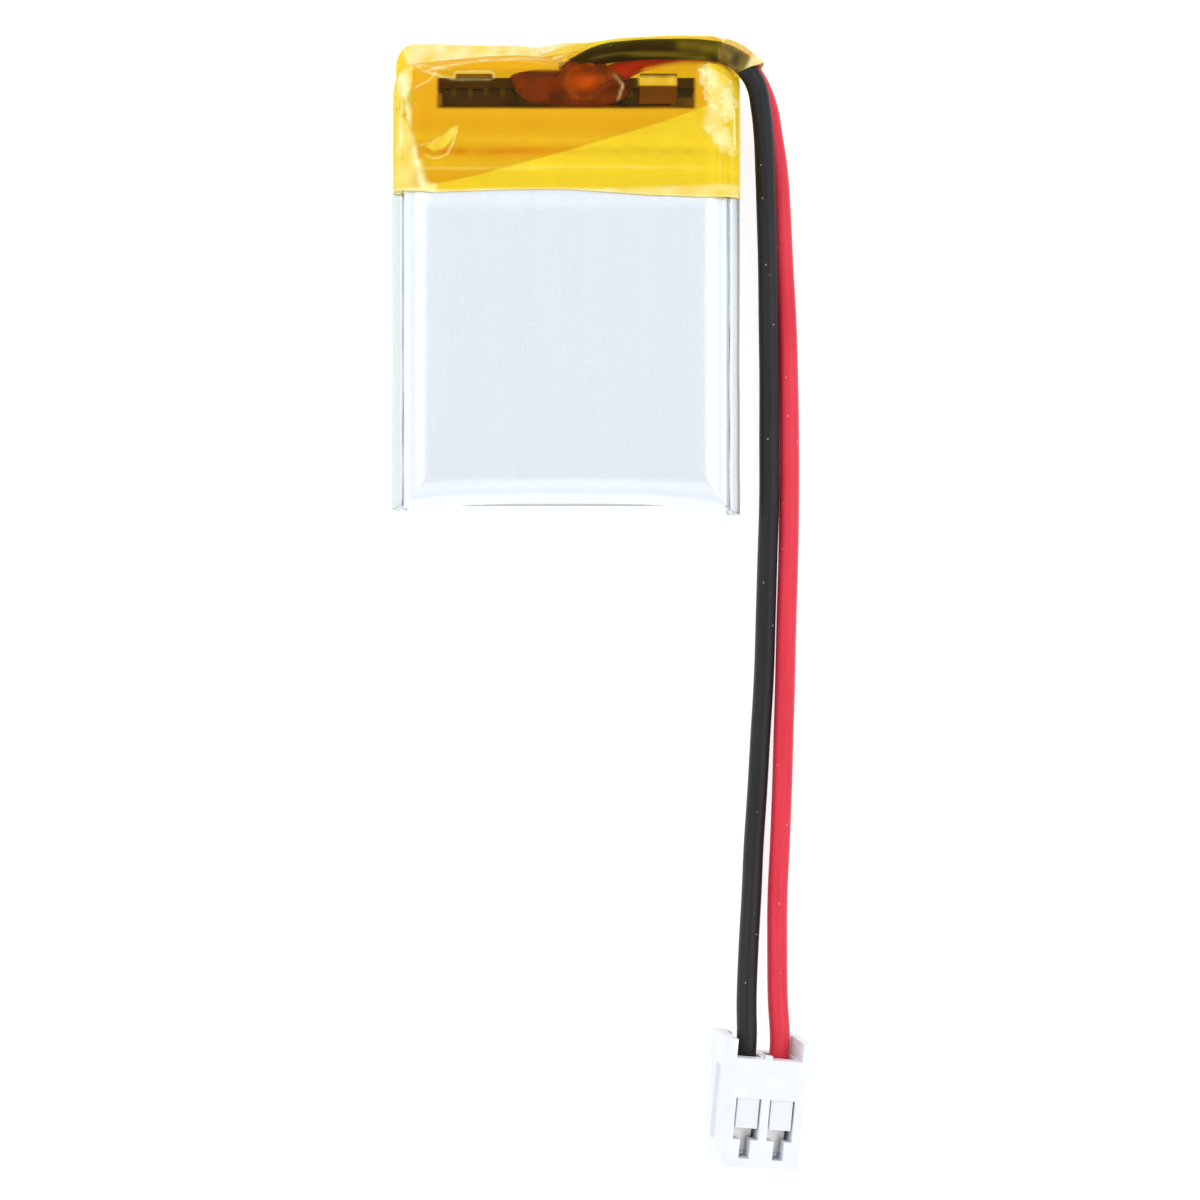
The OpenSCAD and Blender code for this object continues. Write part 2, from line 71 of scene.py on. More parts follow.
BLACK_ROUTE = [
    (0.4, 12.1, 3.7), (2, 12.85, 3.95), (3.8, 13.1, 4.05), (6.2, 13.2, 4), (8, 13.15, 4),
    (9.2, 12.95, 3.95), (10.1, 12.45, 3.85), (10.7, 11.85, 3.7), (11.15, 11.05, 3.45),
    (11.4, 9.9, 3.1), (11.6, 8.3, 2.6), (11.7, 6.5, 2.15), (11.8, 4, 1.75), (11.9, 1, 1.45),
    (11.95, -2.5, 1.25), (12, -6, 1.1), (12, -9.5, 1), (12, -13, 0.95), (11.9, -16.5, 0.85),
    (11.8, -20, 0.8), (11.7, -23.5, 0.65), (11.5, -27, 0.6), (11.3, -30.5, 0.6),
    (11.1, -33.5, 0.65), (10.95, -36.5, 0.95), (10.75, -39.5, 1.6), (10.6, -42.5, 2.35),
]
RED_ROUTE = [
    (2.2, 11.6, 3.5), (3.2, 12.05, 3.3), (4.4, 12.65, 2.9), (5.8, 12.9, 2.7),
    (7.3, 13.1, 2.6), (8.6, 13.15, 2.55), (9.7, 12.95, 2.5), (10.5, 12.5, 2.45),
    (11.1, 11.75, 2.35), (11.55, 10.9, 2.15), (11.9, 9.9, 1.9), (12.2, 8.3, 1.5),
    (12.5, 6.5, 1.1), (12.7, 4, 0.8), (12.85, 1, 0.65), (13.05, -2.5, 0.6), (13.15, -6, 0.6),
    (13.2, -9.5, 0.6), (13.2, -13, 0.6), (13.15, -16.5, 0.6), (13.05, -20, 0.6),
    (12.97, -23.5, 0.6), (12.87, -27, 0.6), (12.77, -30.5, 0.6), (12.65, -33.5, 0.65),
    (12.5, -36.5, 0.9), (12.45, -39.5, 1.45), (12.45, -42.5, 2.1),
]
# How many of a route's points lie under the film, and which ones are at its mouth
UNDER_FILM = 7
AT_MOUTH = slice(4, 9)

# The connector housing: its middle, its turns and the spacing of its contacts
HOUSING_AT = (11.5, -45.7, 2.637)
HOUSING_ROLL = math.radians(9)
HOUSING_YAW = math.radians(5.5)
PITCH = 2.0


def in_housing(p):
    """A point of the housing's own frame, in the pack's frame."""
    c, s = math.cos(HOUSING_ROLL), math.sin(HOUSING_ROLL)
    x, y, z = p[0] * c + p[2] * s, p[1], p[2] * c - p[0] * s
    c, s = math.cos(-HOUSING_YAW), math.sin(-HOUSING_YAW)
    x, y = x * c - y * s, x * s + y * c
    return (x + HOUSING_AT[0], y + HOUSING_AT[1], z + HOUSING_AT[2])


# ---------------------------------------------------------------- small helpers

def clamp(v, low=0.0, high=1.0):
    return max(low, min(high, v))


def smooth(v):
    """An even step from 0 to 1 as v goes from 0 to 1."""
    v = clamp(v)
    return v * v * (3 - 2 * v)


def along(points, x):
    """The value at x of a line through (x, value) points."""
    if x <= points[0][0]:
        return points[0][1]
    for (x0, y0), (x1, y1) in zip(points, points[1:]):
        if x <= x1:
            return y0 + (y1 - y0) * (x - x0) / (x1 - x0)
    return points[-1][1]


def near(points, x, y):
    """Distance in plan from (x, y) to a bent line, and how far along it, from 0 to 1."""
    best = (1e9, 0.0)
    count = len(points) - 1
    for i in range(count):
        ax, ay = points[i][:2]
        bx, by = points[i + 1][:2]
        dx, dy = bx - ax, by - ay
        t = clamp(((x - ax) * dx + (y - ay) * dy) / (dx * dx + dy * dy))
        d = math.hypot(x - ax - dx * t, y - ay - dy * t)
        if d < best[0]:
            best = (d, (i + t) / count)
    return best


def wobble(x, y, z, size, seed):
    """Smooth noise between about -1 and 1, with features of that size."""
    return noise.noise(Vector((x / size + seed * 7.3, y / size, z / size - seed * 3.1)))


def make_object(name, mesh):
    obj = bpy.data.objects.new(name, mesh)
    bpy.context.scene.collection.objects.link(obj)
    return obj


def make_mesh(name, verts, faces):
    """A mesh object from points in mm."""
    mesh = bpy.data.meshes.new(name)
    mesh.from_pydata([[c * MM for c in v] for v in verts], [], faces)
    return make_object(name, mesh)


def finish_mesh(obj, merge=0.0005, flat_angle=None):
    """Joins doubled points, turns the faces outward and shades the piece smoothly."""
    bm = bmesh.new()
    bm.from_mesh(obj.data)
    bmesh.ops.remove_doubles(bm, verts=bm.verts, dist=merge * MM)
    bmesh.ops.recalc_face_normals(bm, faces=bm.faces)
    for face in bm.faces:
        face.smooth = True
    if flat_angle:
        for edge in bm.edges:
            edge.smooth = len(edge.link_faces) == 2 and edge.calc_face_angle() < flat_angle
    bm.to_mesh(obj.data)
    bm.free()


def apply_modifiers(obj):
    """Replaces the mesh by what its modifiers make of it."""
    graph = bpy.context.evaluated_depsgraph_get()
    mesh = bpy.data.meshes.new_from_object(obj.evaluated_get(graph))
    obj.modifiers.clear()
    obj.data = mesh


def thicken(obj, thickness):
    """Makes a closed shell of an open sheet, inward from its outer face."""
    shell = obj.modifiers.new("shell", "SOLIDIFY")
    shell.thickness = thickness * MM
    shell.offset = -1
    shell.use_even_offset = False
    apply_modifiers(obj)


def place(obj, mat, replaces=()):
    """Gives a piece its finish and its body, and the CAD nodes that it stands for."""
    obj.data.materials.clear()
    obj.data.materials.append(mat)
    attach(obj, "root")
    if replaces:
        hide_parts(*replaces)
    return obj


# ---------------------------------------------------------------- materials

class Look:
    """A material's node tree, with short calls to add to it."""

    def __init__(self, name):
        self.mat = bpy.data.materials.new(name)
        self.mat.use_nodes = True
        self.tree = self.mat.node_tree
        self.bsdf = self.tree.nodes["Principled BSDF"]
        self.out = self.tree.nodes["Material Output"]

    def add(self, kind, settings=None, **inputs):
        node = self.tree.nodes.new(kind)
        for key, value in (settings or {}).items():
            setattr(node, key, value)
        for key, value in inputs.items():
            self.put(node, key.replace("_", " "), value)
        return node

    def put(self, node, key, value):
        socket = node.inputs[int(key) if key.isdigit() else key]
        if isinstance(value, bpy.types.NodeSocket):
            self.tree.links.new(value, socket)
        else:
            socket.default_value = value

    def set(self, **inputs):
        for key, value in inputs.items():
            self.put(self.bsdf, key.replace("_", " "), value)

    def coords(self, scale=(1, 1, 1)):
        """The piece's own coordinates in mm, times scale."""
        place_in = self.add("ShaderNodeTexCoord").outputs["Object"]
        return self.add("ShaderNodeMapping", None, Vector=place_in,
                        Scale=[s / MM for s in scale]).outputs[0]

    def noise(self, scale, size=1.0, detail=3.0, rough=0.5):
        """Noise whose features are size mm, stretched by 1 / scale."""
        return self.add("ShaderNodeTexNoise", None, Vector=self.coords(scale),
                        Scale=1 / size, Detail=detail, Roughness=rough).outputs["Fac"]

    def ramp(self, value, low, high, at=(0.3, 0.7)):
        """Turns a value into a number between low and high."""
        return self.add("ShaderNodeMapRange", {"clamp": True}, Value=value,
                        From_Min=at[0], From_Max=at[1], To_Min=low, To_Max=high).outputs[0]

    def blend(self, value, low, high):
        """Mixes two colours by a value from 0 to 1."""
        return self.add("ShaderNodeMix", {"data_type": "RGBA"}, **{
            "Factor": value, "6": (*low, 1), "7": (*high, 1)}).outputs[2]

    def math(self, kind, a, b):
        return self.add("ShaderNodeMath", {"operation": kind}, **{"0": a, "1": b}).outputs[0]

    def bump(self, height, depth, strength=1.0, under=None):
        """Bump that is depth mm high where height is 1."""
        node = self.add("ShaderNodeBump", None, Height=height, Strength=strength,
                        Distance=depth * MM)
        if under is not None:
            self.put(node, "Normal", under)
        return node.outputs[0]


def simple_look(name, low, high, rough, metal=0.0, grain=0.3, depth=0.01,
                scale=(1, 1, 1)):
    """A finish whose colour and roughness vary a little, with fine bump."""
    look = Look(name)
    patches = look.noise((1, 1, 1), 1.0, 4.0)
    fine = look.noise(scale, grain, 5.0, 0.6)
    look.set(Base_Color=look.blend(look.ramp(patches, 0, 1), low, high),
             Roughness=look.ramp(fine, *rough), Metallic=metal,
             Normal=look.bump(fine, depth))
    return look.mat


def foil_look(name, low, high, rough=(0.3, 0.38)):
    """Satin aluminium laminate, rolled along Y, with a fine mottle."""
    look = Look(name)
    streaks = look.noise((1, 0.03, 1), 0.16, 6.0, 0.65)
    broad = look.noise((1, 0.12, 1), 2.2, 3.0)
    grain = look.noise((1, 0.45, 1), 0.07, 3.0, 0.7)
    mottle = look.noise((1, 0.7, 1), 0.16, 4.0, 0.7)
    tone = look.math("ADD", look.math("MULTIPLY", streaks, 0.25), look.math(
        "ADD", look.math("MULTIPLY", mottle, 0.5), look.math("MULTIPLY", broad, 0.25)))
    lines = look.bump(streaks, 0.0025)
    look.set(Base_Color=look.blend(look.ramp(tone, 0, 1, (0.38, 0.62)), low, high),
             Roughness=look.ramp(grain, *rough), Metallic=1.0,
             Normal=look.bump(grain, 0.0035, under=lines))
    return look.mat


# Pale cream of the film's milky haze, also used to paint its sheen
HAZE_AND_SHEEN_COLOUR = (1.0, 0.93, 0.52, 1)


def film_look(name, clear, deep_and_shaded, amber, gloss):
    """See-through amber film. Its vertex values haze_and_sheen, tone and painted_glow make it
    pale (a milky haze and painted sheen), darker (painted shade) and brighter (painted light)."""
    look = Look(name)
    haze_and_sheen, tone, painted_glow = [look.add("ShaderNodeAttribute", {"attribute_name": key}).outputs["Fac"]
                        for key in ("haze_and_sheen", "tone", "painted_glow")]
    patches = look.noise((1, 0.5, 1), 2.6, 4.0)
    fine = look.noise((0.6, 1, 1), 0.35, 4.0, 0.6)
    specks = look.add("ShaderNodeTexVoronoi", None, Vector=look.coords(),
                      Scale=1.7).outputs["Distance"]
    bubbles = look.ramp(specks, 0.5, 0, (0.03, 0.07))
    # How much darker the film is: tone, which is painted shade, plus random thicker patches
    depth = look.math("ADD", tone, look.ramp(patches, 0, 0.22, (0.35, 0.7)))
    through = look.add("ShaderNodeBsdfTransparent", None,
                       Color=look.blend(depth, clear, deep_and_shaded)).outputs[0]
    bump = look.bump(fine, 0.02, under=look.bump(patches, 0.08))
    # A lit amber layer, mixed in by painted_glow, that paints light into the film
    painted_glow_bsdf = look.add("ShaderNodeBsdfDiffuse", None, Color=(*amber, 1),
                       Normal=bump).outputs[0]
    lit = look.add("ShaderNodeMixShader", None, **{
        "0": look.math("MULTIPLY", painted_glow, look.ramp(patches, 0.85, 1.15)), "1": through,
        "2": painted_glow_bsdf}).outputs[0]
    # Pale film: painted sheen and milky haze from haze_and_sheen, and small bubbles
    pale = look.math("ADD", look.math("MULTIPLY", haze_and_sheen, look.ramp(fine, 0.75, 1.1)),
                     look.math("MULTIPLY", bubbles, 0.25))
    haze_and_sheen_bsdf = look.add("ShaderNodeBsdfDiffuse", None, Color=HAZE_AND_SHEEN_COLOUR, Normal=bump).outputs[0]
    body = look.add("ShaderNodeMixShader", None, **{"0": pale, "1": lit, "2": haze_and_sheen_bsdf}).outputs[0]
    shine = look.add("ShaderNodeBsdfAnisotropic", None, Color=(1, 1, 1, 1), Roughness=0.12,
                     Normal=bump).outputs[0]
    facing = look.add("ShaderNodeFresnel", None, IOR=1.35, Normal=bump).outputs[0]
    top = look.add("ShaderNodeMixShader", None, **{
        "0": look.math("MULTIPLY", facing, gloss), "1": body, "2": shine}).outputs[0]
    look.tree.links.new(top, look.out.inputs["Surface"])
    look.tree.nodes.remove(look.bsdf)
    return look.mat


def insulation_look(name, low, high, rough):
    """Silicone-soft wire insulation with fine dust specks and a faint grain."""
    look = Look(name)
    grain = look.noise((1, 1, 1), 0.16, 5.0, 0.65)
    patches = look.noise((1, 0.2, 1), 1.4, 3.0)
    dots = look.add("ShaderNodeTexVoronoi", None, Vector=look.coords(),
                    Scale=1.1).outputs["Distance"]
    dust = look.ramp(dots, 0.55, 0, (0.03, 0.06))
    colour = look.blend(look.ramp(patches, 0, 1), low, high)
    dusty = look.add("ShaderNodeMix", {"data_type": "RGBA"}, **{
        "Factor": dust, "6": colour, "7": (0.8, 0.72, 0.7, 1)}).outputs[2]
    look.set(Base_Color=dusty, Roughness=look.ramp(grain, *rough),
             Normal=look.bump(grain, 0.012), **{"Specular_IOR_Level": 0.3})
    return look.mat


def tab_look():
    """Aluminium with a painted glint along its fold and painted brown shade on its flat end.
    """
    look = Look("tab_aluminium")
    fine = look.noise((1, 0.1, 1), 0.12, 5.0, 0.6)
    ragged_edge = look.noise((1, 1, 1), 0.5, 4.0)
    along_y = look.add("ShaderNodeSeparateXYZ", None, Vector=look.coords()).outputs["Y"]
    # A band along the fold, with a ragged edge: where the glint is painted
    edge = look.math("ADD", along_y, look.math("MULTIPLY", ragged_edge, 0.12))
    fold_glint = look.math("MULTIPLY", look.ramp(edge, 0, 1, (11.27, 11.33)),
                       look.ramp(edge, 1, 0, (11.72, 11.8)))
    # Colour: painted glint on the fold, painted brown shade elsewhere; the glint is also more
    # metallic
    look.set(Base_Color=look.blend(fold_glint, (0.2, 0.105, 0.05), (0.95, 0.92, 0.86)),
             Roughness=look.ramp(fine, 0.28, 0.42), Metallic=look.ramp(fold_glint, 0.2, 1, (0, 1)),
             Normal=look.bump(fine, 0.008))
    return look.mat


def make_looks():
    """Every finish of the pack, by name."""
    return {
        "foil": foil_look("foil", (0.77, 0.835, 0.92), (0.835, 0.89, 0.97)),
        "seal": foil_look("seal_foil", (0.68, 0.735, 0.76), (0.76, 0.81, 0.835), (0.4, 0.5)),
        "film": film_look("amber_film", (0.995, 0.935, 0.50), (0.96, 0.80, 0.26),
                          (1.0, 0.76, 0.03), 0.24),
        "inner_film": film_look("inner_amber_film", (0.985, 0.88, 0.34),
                                (0.94, 0.75, 0.16), (0.92, 0.48, 0.002), 0.06),
        "sleeve": film_look("mouth_film", (0.98, 0.90, 0.55), (0.9, 0.75, 0.3),
                            (0.9, 0.6, 0.08), 0.4),
        "wrap": film_look("wrap_film", (0.90, 0.55, 0.25), (0.75, 0.36, 0.12),
                          (0.85, 0.22, 0.004), 0.1),
        "black": insulation_look("black_insulation", (0.008, 0.008, 0.010),
                                 (0.013, 0.013, 0.017), (0.36, 0.5)),
        "red": insulation_look("red_insulation", (0.62, 0.020, 0.042),
                               (0.72, 0.034, 0.062), (0.34, 0.48)),
        "nylon": simple_look("white_nylon", (0.74, 0.77, 0.825), (0.79, 0.815, 0.865),
                             (0.3, 0.42), grain=0.2, depth=0.006),
        "contact": simple_look("contact_metal", (0.88, 0.87, 0.85), (0.95, 0.94, 0.92),
                               (0.36, 0.5), 1.0, grain=0.15, depth=0.006),
        "copper": simple_look("copper", (0.72, 0.30, 0.15), (0.86, 0.42, 0.22), (0.25, 0.4),
                              1.0, grain=0.08, depth=0.02, scale=(1, 0.1, 1)),
        "nickel": simple_look("nickel", (0.52, 0.49, 0.44), (0.68, 0.65, 0.6), (0.25, 0.4),
                              1.0, grain=0.12, depth=0.006, scale=(0.2, 1, 1)),
        "tab": tab_look(),
        "solder": simple_look("solder", (0.52, 0.52, 0.53), (0.7, 0.7, 0.71), (0.15, 0.35),
                              1.0, grain=0.3, depth=0.03),
        "board": simple_look("board_laminate", (0.05, 0.022, 0.010), (0.085, 0.036, 0.016),
                             (0.3, 0.45), grain=0.1, depth=0.008),
        "chip": simple_look("chip_epoxy", (0.040, 0.019, 0.012), (0.06, 0.027, 0.016),
                            (0.5, 0.7), grain=0.07, depth=0.012),
        "leads": simple_look("chip_leads", (0.10, 0.08, 0.06), (0.16, 0.13, 0.1), (0.4, 0.6),
                             0.8, grain=0.1, depth=0.008),
        "resistor": simple_look("resistor_body", (0.02, 0.02, 0.022), (0.05, 0.05, 0.055),
                                (0.3, 0.5), grain=0.08, depth=0.01),
        "capacitor": simple_look("capacitor_body", (0.30, 0.19, 0.11), (0.42, 0.28, 0.17),
                                 (0.4, 0.6), grain=0.08, depth=0.01),
        "paper": simple_look("insulating_paper", (0.62, 0.56, 0.44), (0.74, 0.68, 0.56),
                             (0.7, 0.9), grain=0.12, depth=0.02, scale=(0.3, 1, 1)),
        "seal_film": simple_look("sealing_film", (0.02, 0.02, 0.022), (0.05, 0.05, 0.05),
                                 (0.35, 0.5), grain=0.2, depth=0.01),
        "cathode": simple_look("cathode_coating", (0.03, 0.03, 0.034), (0.06, 0.06, 0.066),
                               (0.75, 0.95), grain=0.06, depth=0.02),
        "anode": simple_look("anode_coating", (0.012, 0.012, 0.013), (0.035, 0.034, 0.035),
                             (0.7, 0.9), grain=0.06, depth=0.02),
        "separator": simple_look("separator_film", (0.82, 0.83, 0.84), (0.9, 0.91, 0.92),
                                 (0.45, 0.6), grain=0.25, depth=0.01, scale=(1, 0.2, 1)),
        "roll_tape": simple_look("roll_tape", (0.10, 0.42, 0.16), (0.16, 0.52, 0.22),
                                 (0.25, 0.4), grain=0.3, depth=0.01),
    }


# ---------------------------------------------------------------- stage

CAMERA_AT = (1.97, -18.97, 198.6)
FLOOR_HALF, FLOOR_Z = 900, -0.02


def make_camera():
    """A long lens that looks straight down."""
    data = bpy.data.cameras.new("camera")
    data.lens = 100
    data.sensor_width = 36
    data.clip_start = 0.01
    obj = make_object("camera", data)
    obj.location = [c * MM for c in CAMERA_AT]
    bpy.context.scene.camera = obj


def make_floor():
    """A plain pale floor that reaches far past the view."""
    corners = ((-1, -1), (1, -1), (1, 1), (-1, 1))
    obj = make_mesh("floor", [(x * FLOOR_HALF, y * FLOOR_HALF, FLOOR_Z) for x, y in corners],
                    [(0, 1, 2, 3)])
    look = Look("floor")
    look.set(Base_Color=(0.3, 0.3, 0.3, 1), Roughness=0.9,
             Emission_Color=(1, 1, 1, 1), Emission_Strength=0.84)
    obj.data.materials.append(look.mat)


def make_light(name, at, size, power):
    """A round light at a place in metres, turned to the pack, with its width and watts."""
    data = bpy.data.lights.new(name, "AREA")
    data.shape = "DISK"
    data.size = size
    data.energy = power
    obj = make_object(name, data)
    obj.location = at
    obj.rotation_euler = (-Vector(at)).to_track_quat("-Z", "Y").to_euler()


def make_sky():
    """Even soft light, with a brighter ring between the horizon and straight above."""
    world = bpy.data.worlds.new("studio")
    world.use_nodes = True
    bpy.context.scene.world = world
    tree = world.node_tree
    place_in = tree.nodes.new("ShaderNodeTexCoord")
    split = tree.nodes.new("ShaderNodeSeparateXYZ")
    ring = tree.nodes.new("ShaderNodeValToRGB")
    stops = [(0.0, 0.86), (0.25, 0.88), (0.5, 1.0), (0.86, 1.0), (0.95, 0.76)]
    while len(ring.color_ramp.elements) < len(stops):
        ring.color_ramp.elements.new(0.5)
    for stop, (at, level) in zip(ring.color_ramp.elements, stops):
        stop.position = at
        stop.color = (level, level, level, 1)
    tree.links.new(place_in.outputs["Generated"], split.inputs[0])
    tree.links.new(split.outputs["Z"], ring.inputs[0])
    tree.links.new(ring.outputs[0], tree.nodes["Background"].inputs["Color"])
    tree.nodes["Background"].inputs["Strength"].default_value = 1.14


def make_stage():
    make_camera()
    make_floor()
    make_sky()
    make_light("key", (-0.35, 0.25, 0.45), 0.35, 0.4)
    make_light("fill", (0.4, -0.2, 0.35), 0.4, 0.16)
    make_light("glint", (0.3, 0.055, 0.4), 0.08, 0.2)
    bpy.context.scene.view_settings.view_transform = "Standard"


# ---------------------------------------------------------------- wires

def wire_points(route, x):
    """The route and its last stretch, into the housing's hole at x."""
    return list(route) + [in_housing((x, 0.7, 0)), in_housing((x, -1.25, 0))]


def make_wire(name, points, mat):
    """A round wire on one smooth line through its route's points."""
    data = bpy.data.curves.new(name, "CURVE")
    data.dimensions = "3D"
    data.bevel_depth = WIRE_R * MM
    data.bevel_resolution = 6
    data.resolution_u = 8
    data.use_fill_caps = True
    line = data.splines.new("BEZIER")
    line.bezier_points.add(len(points) - 1)
    for knot, point in zip(line.bezier_points, points):
        knot.co = [c * MM for c in point]
        knot.handle_left_type = knot.handle_right_type = "AUTO"
    data.materials.append(mat)
    return make_object(name, data)


def make_wires(looks, housing):
    """Both leads, each running into its hole in the housing."""
    leads = (("black", BLACK_ROUTE, -PITCH / 2), ("red", RED_ROUTE, PITCH / 2))
    for colour, route, x in leads:
        obj = make_wire(f"{colour}_lead", wire_points(route, x), looks[colour])
        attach(obj, "root")
        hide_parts(f"{colour}_wire")


# ---------------------------------------------------------------- pouch

# How many steps the cup's rings have along a side, an end and a corner
RING_SIDE, RING_END, RING_CORNER = 56, 26, 7
# The folded sections of the cup's seal, of its inner fold and of the cover's seal: (x, z)
CUP_SEAL = [(9.5, 0.2), (9.92, 0.2), (10.04, 0.32), (10.06, 0.8), (10.03, 2.2), (9.96, 2.8),
            (9.82, 3.12), (9.6, 3.38)]
CUP_FOLD = [(9.78, 0.45), (9.8, 1.2), (9.8, 2.2), (9.72, 2.9)]
COVER_SEAL = [(9.9, 0.07), (10.12, 0.1), (10.2, 0.25), (10.21, 0.8), (10.17, 2.3),
              (10.1, 2.92), (9.95, 3.26), (9.56, 3.7)]


def ring(inset):
    """Points round the cup's outline, moved in by inset, with mitred inner corners."""
    head_r, end_r = max(1.2 - inset, 0.04), max(0.4 - inset, 0.04)
    x, low, high = CUP_X - inset, CUP_END + inset, SHOULDER - inset
    corners = [(x - head_r, high - head_r, 0, head_r), (head_r - x, high - head_r, 90, head_r),
               (end_r - x, low + end_r, 180, end_r), (x - end_r, low + end_r, 270, end_r)]
    counts = [RING_END, RING_SIDE, RING_END, RING_SIDE]
    points = []
    for k, (cx, cy, start, r) in enumerate(corners):
        for i in range(RING_CORNER + 1):
            a = math.radians(start + 90 * i / RING_CORNER)
            points.append((cx + r * math.cos(a), cy + r * math.sin(a)))
        last = points[-1]
        nx, ny, turn, next_r = corners[(k + 1) % 4]
        a = math.radians(turn)
        target = (nx + next_r * math.cos(a), ny + next_r * math.sin(a))
        for i in range(1, counts[k]):
            t = i / counts[k]
            points.append((last[0] + (target[0] - last[0]) * t,
                           last[1] + (target[1] - last[1]) * t))
    return points


def cup_profile():
    """(inset, height) of the cup's rings, from its foot to the middle of its flat top."""
    wall = [(-0.02, 0.14), (0, 0.3), (0.01, 1.2), (0.02, 2.2), (0.03, CUP_TOP - EDGE_R)]
    steps = 12
    edge = [(0.03 + (EDGE_R - 0.03) * (1 - math.cos(math.radians(90 * i / steps))),
             CUP_TOP - EDGE_R + EDGE_R * math.sin(math.radians(90 * i / steps)))
            for i in range(1, steps + 1)]
    flat = [(EDGE_R + 7.6 * i / 16, CUP_TOP) for i in range(1, 17)]
    return wall + edge + flat


def cup_point(x, y, z):
    """Gives a point of the plain cup the shape that the drawn foil has."""
    # The top is a little crowned and uneven, with one faint line along it
    top = smooth((z - 3.2) / 1.6)
    reach = clamp((CUP_X - abs(x)) / 2.5) * clamp(min(y - CUP_END, SHOULDER - y) / 2.5)
    z += top * (0.02 * smooth(reach) + 0.022 * wobble(x, y, 0, 4.5, 1)
                + 0.008 * wobble(x, y, 0, 1.3, 2))
    z -= top * 0.02 * math.exp(-((x + 3.44) / 0.12) ** 2)
    # The tape presses it down, and its bottom end is hollowed between its corners
    z -= 0.13 * top * smooth((y - 4.1) / 0.5)
    low_end = smooth((-10.5 - y) / 2.8)
    y += low_end * (0.04 - (0.55 if x > 0 else 0.4) * abs(x / CUP_X) ** 3.5)
    x += 0.02 * wobble(0, y, z, 3.2, 3) * (1 - top)
    return (x, y, z)


def cup_shell():
    """Points and faces of the drawn cup's outer face."""
    rings = [[(x, y, z) for x, y in ring(inset)] for inset, z in cup_profile()]
    count = len(rings[0])
    verts = [cup_point(*p) for points in rings for p in points]
    faces = []
    for k in range(len(rings) - 1):
        for i in range(count):
            j = (i + 1) % count
            faces.append((k * count + i, k * count + j, (k + 1) * count + j,
                          (k + 1) * count + i))
    faces.append(tuple(range((len(rings) - 1) * count, len(rings) * count)))
    return verts, faces


def ribbon(line, stations, thick, trim):
    """A closed strip: the bent line of (x, z) points swept along Y.

    trim(y) gives how much of the line's length is kept at y, from 0 to 1."""
    verts, faces = [], []
    steps = 14
    lengths = [0.0]
    for (x0, z0), (x1, z1) in zip(line, line[1:]):
        lengths.append(lengths[-1] + math.hypot(x1 - x0, z1 - z0))

    def at(d):
        for k in range(len(line) - 1):
            if d <= lengths[k + 1] or k == len(line) - 2:
                t = clamp((d - lengths[k]) / (lengths[k + 1] - lengths[k]))
                (x0, z0), (x1, z1) = line[k], line[k + 1]
                size = math.hypot(x1 - x0, z1 - z0)
                return (x0 + (x1 - x0) * t, z0 + (z1 - z0) * t,
                        (z1 - z0) / size, -(x1 - x0) / size)

    for y in stations:
        keep = lengths[-1] * trim(y)
        outer, inner = [], []
        for i in range(steps + 1):
            x, z, nx, nz = at(keep * i / steps)
            wave = 0.03 * wobble(x, y, z, 2.6, 5) * smooth(z / 2)
            outer.append((x + nx * thick / 2 + wave, y, z + nz * thick / 2))
            inner.append((x - nx * thick / 2 + wave, y, z - nz * thick / 2))
        verts += outer + inner[::-1]
    loop = 2 * (steps + 1)
    for k in range(len(stations) - 1):
        for i in range(loop):
            j = (i + 1) % loop
            faces.append((k * loop + i, k * loop + j, (k + 1) * loop + j, (k + 1) * loop + i))
    faces.append(tuple(range(loop)))
    faces.append(tuple(range((len(stations) - 1) * loop, len(stations) * loop)))
    return verts, faces


def joined(*parts):
    """One list of points and one of faces from several."""
    verts, faces = [], []
    for part_verts, part_faces in parts:
        start = len(verts)
        verts += part_verts
        faces += [tuple(i + start for i in face) for face in part_faces]
    return verts, faces


def mirrored(part):
    """The part on the pack's other side."""
    verts, faces = part
    return [(-x, y, z) for x, y, z in verts], faces


def spaced(start, end, step):
    """Even stations from start to end, about one step apart."""
    count = max(2, round(abs(end - start) / step))
    return [start + (end - start) * i / count for i in range(count + 1)]


def plate(x_half, y_from, y_to, low, high, step=0.45):
    """A closed sheet between two heights that are functions of x and y."""
    xs, ys = spaced(-x_half, x_half, step), spaced(y_from, y_to, step)
    verts, faces = [], []
    rows = len(ys)
    for height in (high, low):
        verts += [(x, y, height(x, y)) for x in xs for y in ys]
    under = len(xs) * rows
    for i in range(len(xs) - 1):
        for j in range(rows - 1):
            a = i * rows + j
            faces.append((a, a + rows, a + rows + 1, a + 1))
            faces.append((under + a, under + a + 1, under + a + rows + 1, under + a + rows))
    rim = [i * rows for i in range(len(xs))]
    rim += [(len(xs) - 1) * rows + j for j in range(1, rows)]
    rim += [i * rows + rows - 1 for i in range(len(xs) - 2, -1, -1)]
    rim += list(range(rows - 2, 0, -1))
    for a, b in zip(rim, rim[1:] + rim[:1]):
        faces.append((a, b, under + b, under + a))
    return verts, faces


def seal_trim(end, y):
    """How much of the seal's section is kept at y: less at its bottom end."""
    return 0.86 + 0.14 * smooth((y - end) / 0.4)


def seal_line(line, turn):
    """A folded section for one side: the left seal stands a little further out."""
    wide = 0 if turn > 0 else 0.07
    return [(x + wide * smooth((x - 9.6) / 0.4), z) for x, z in line]


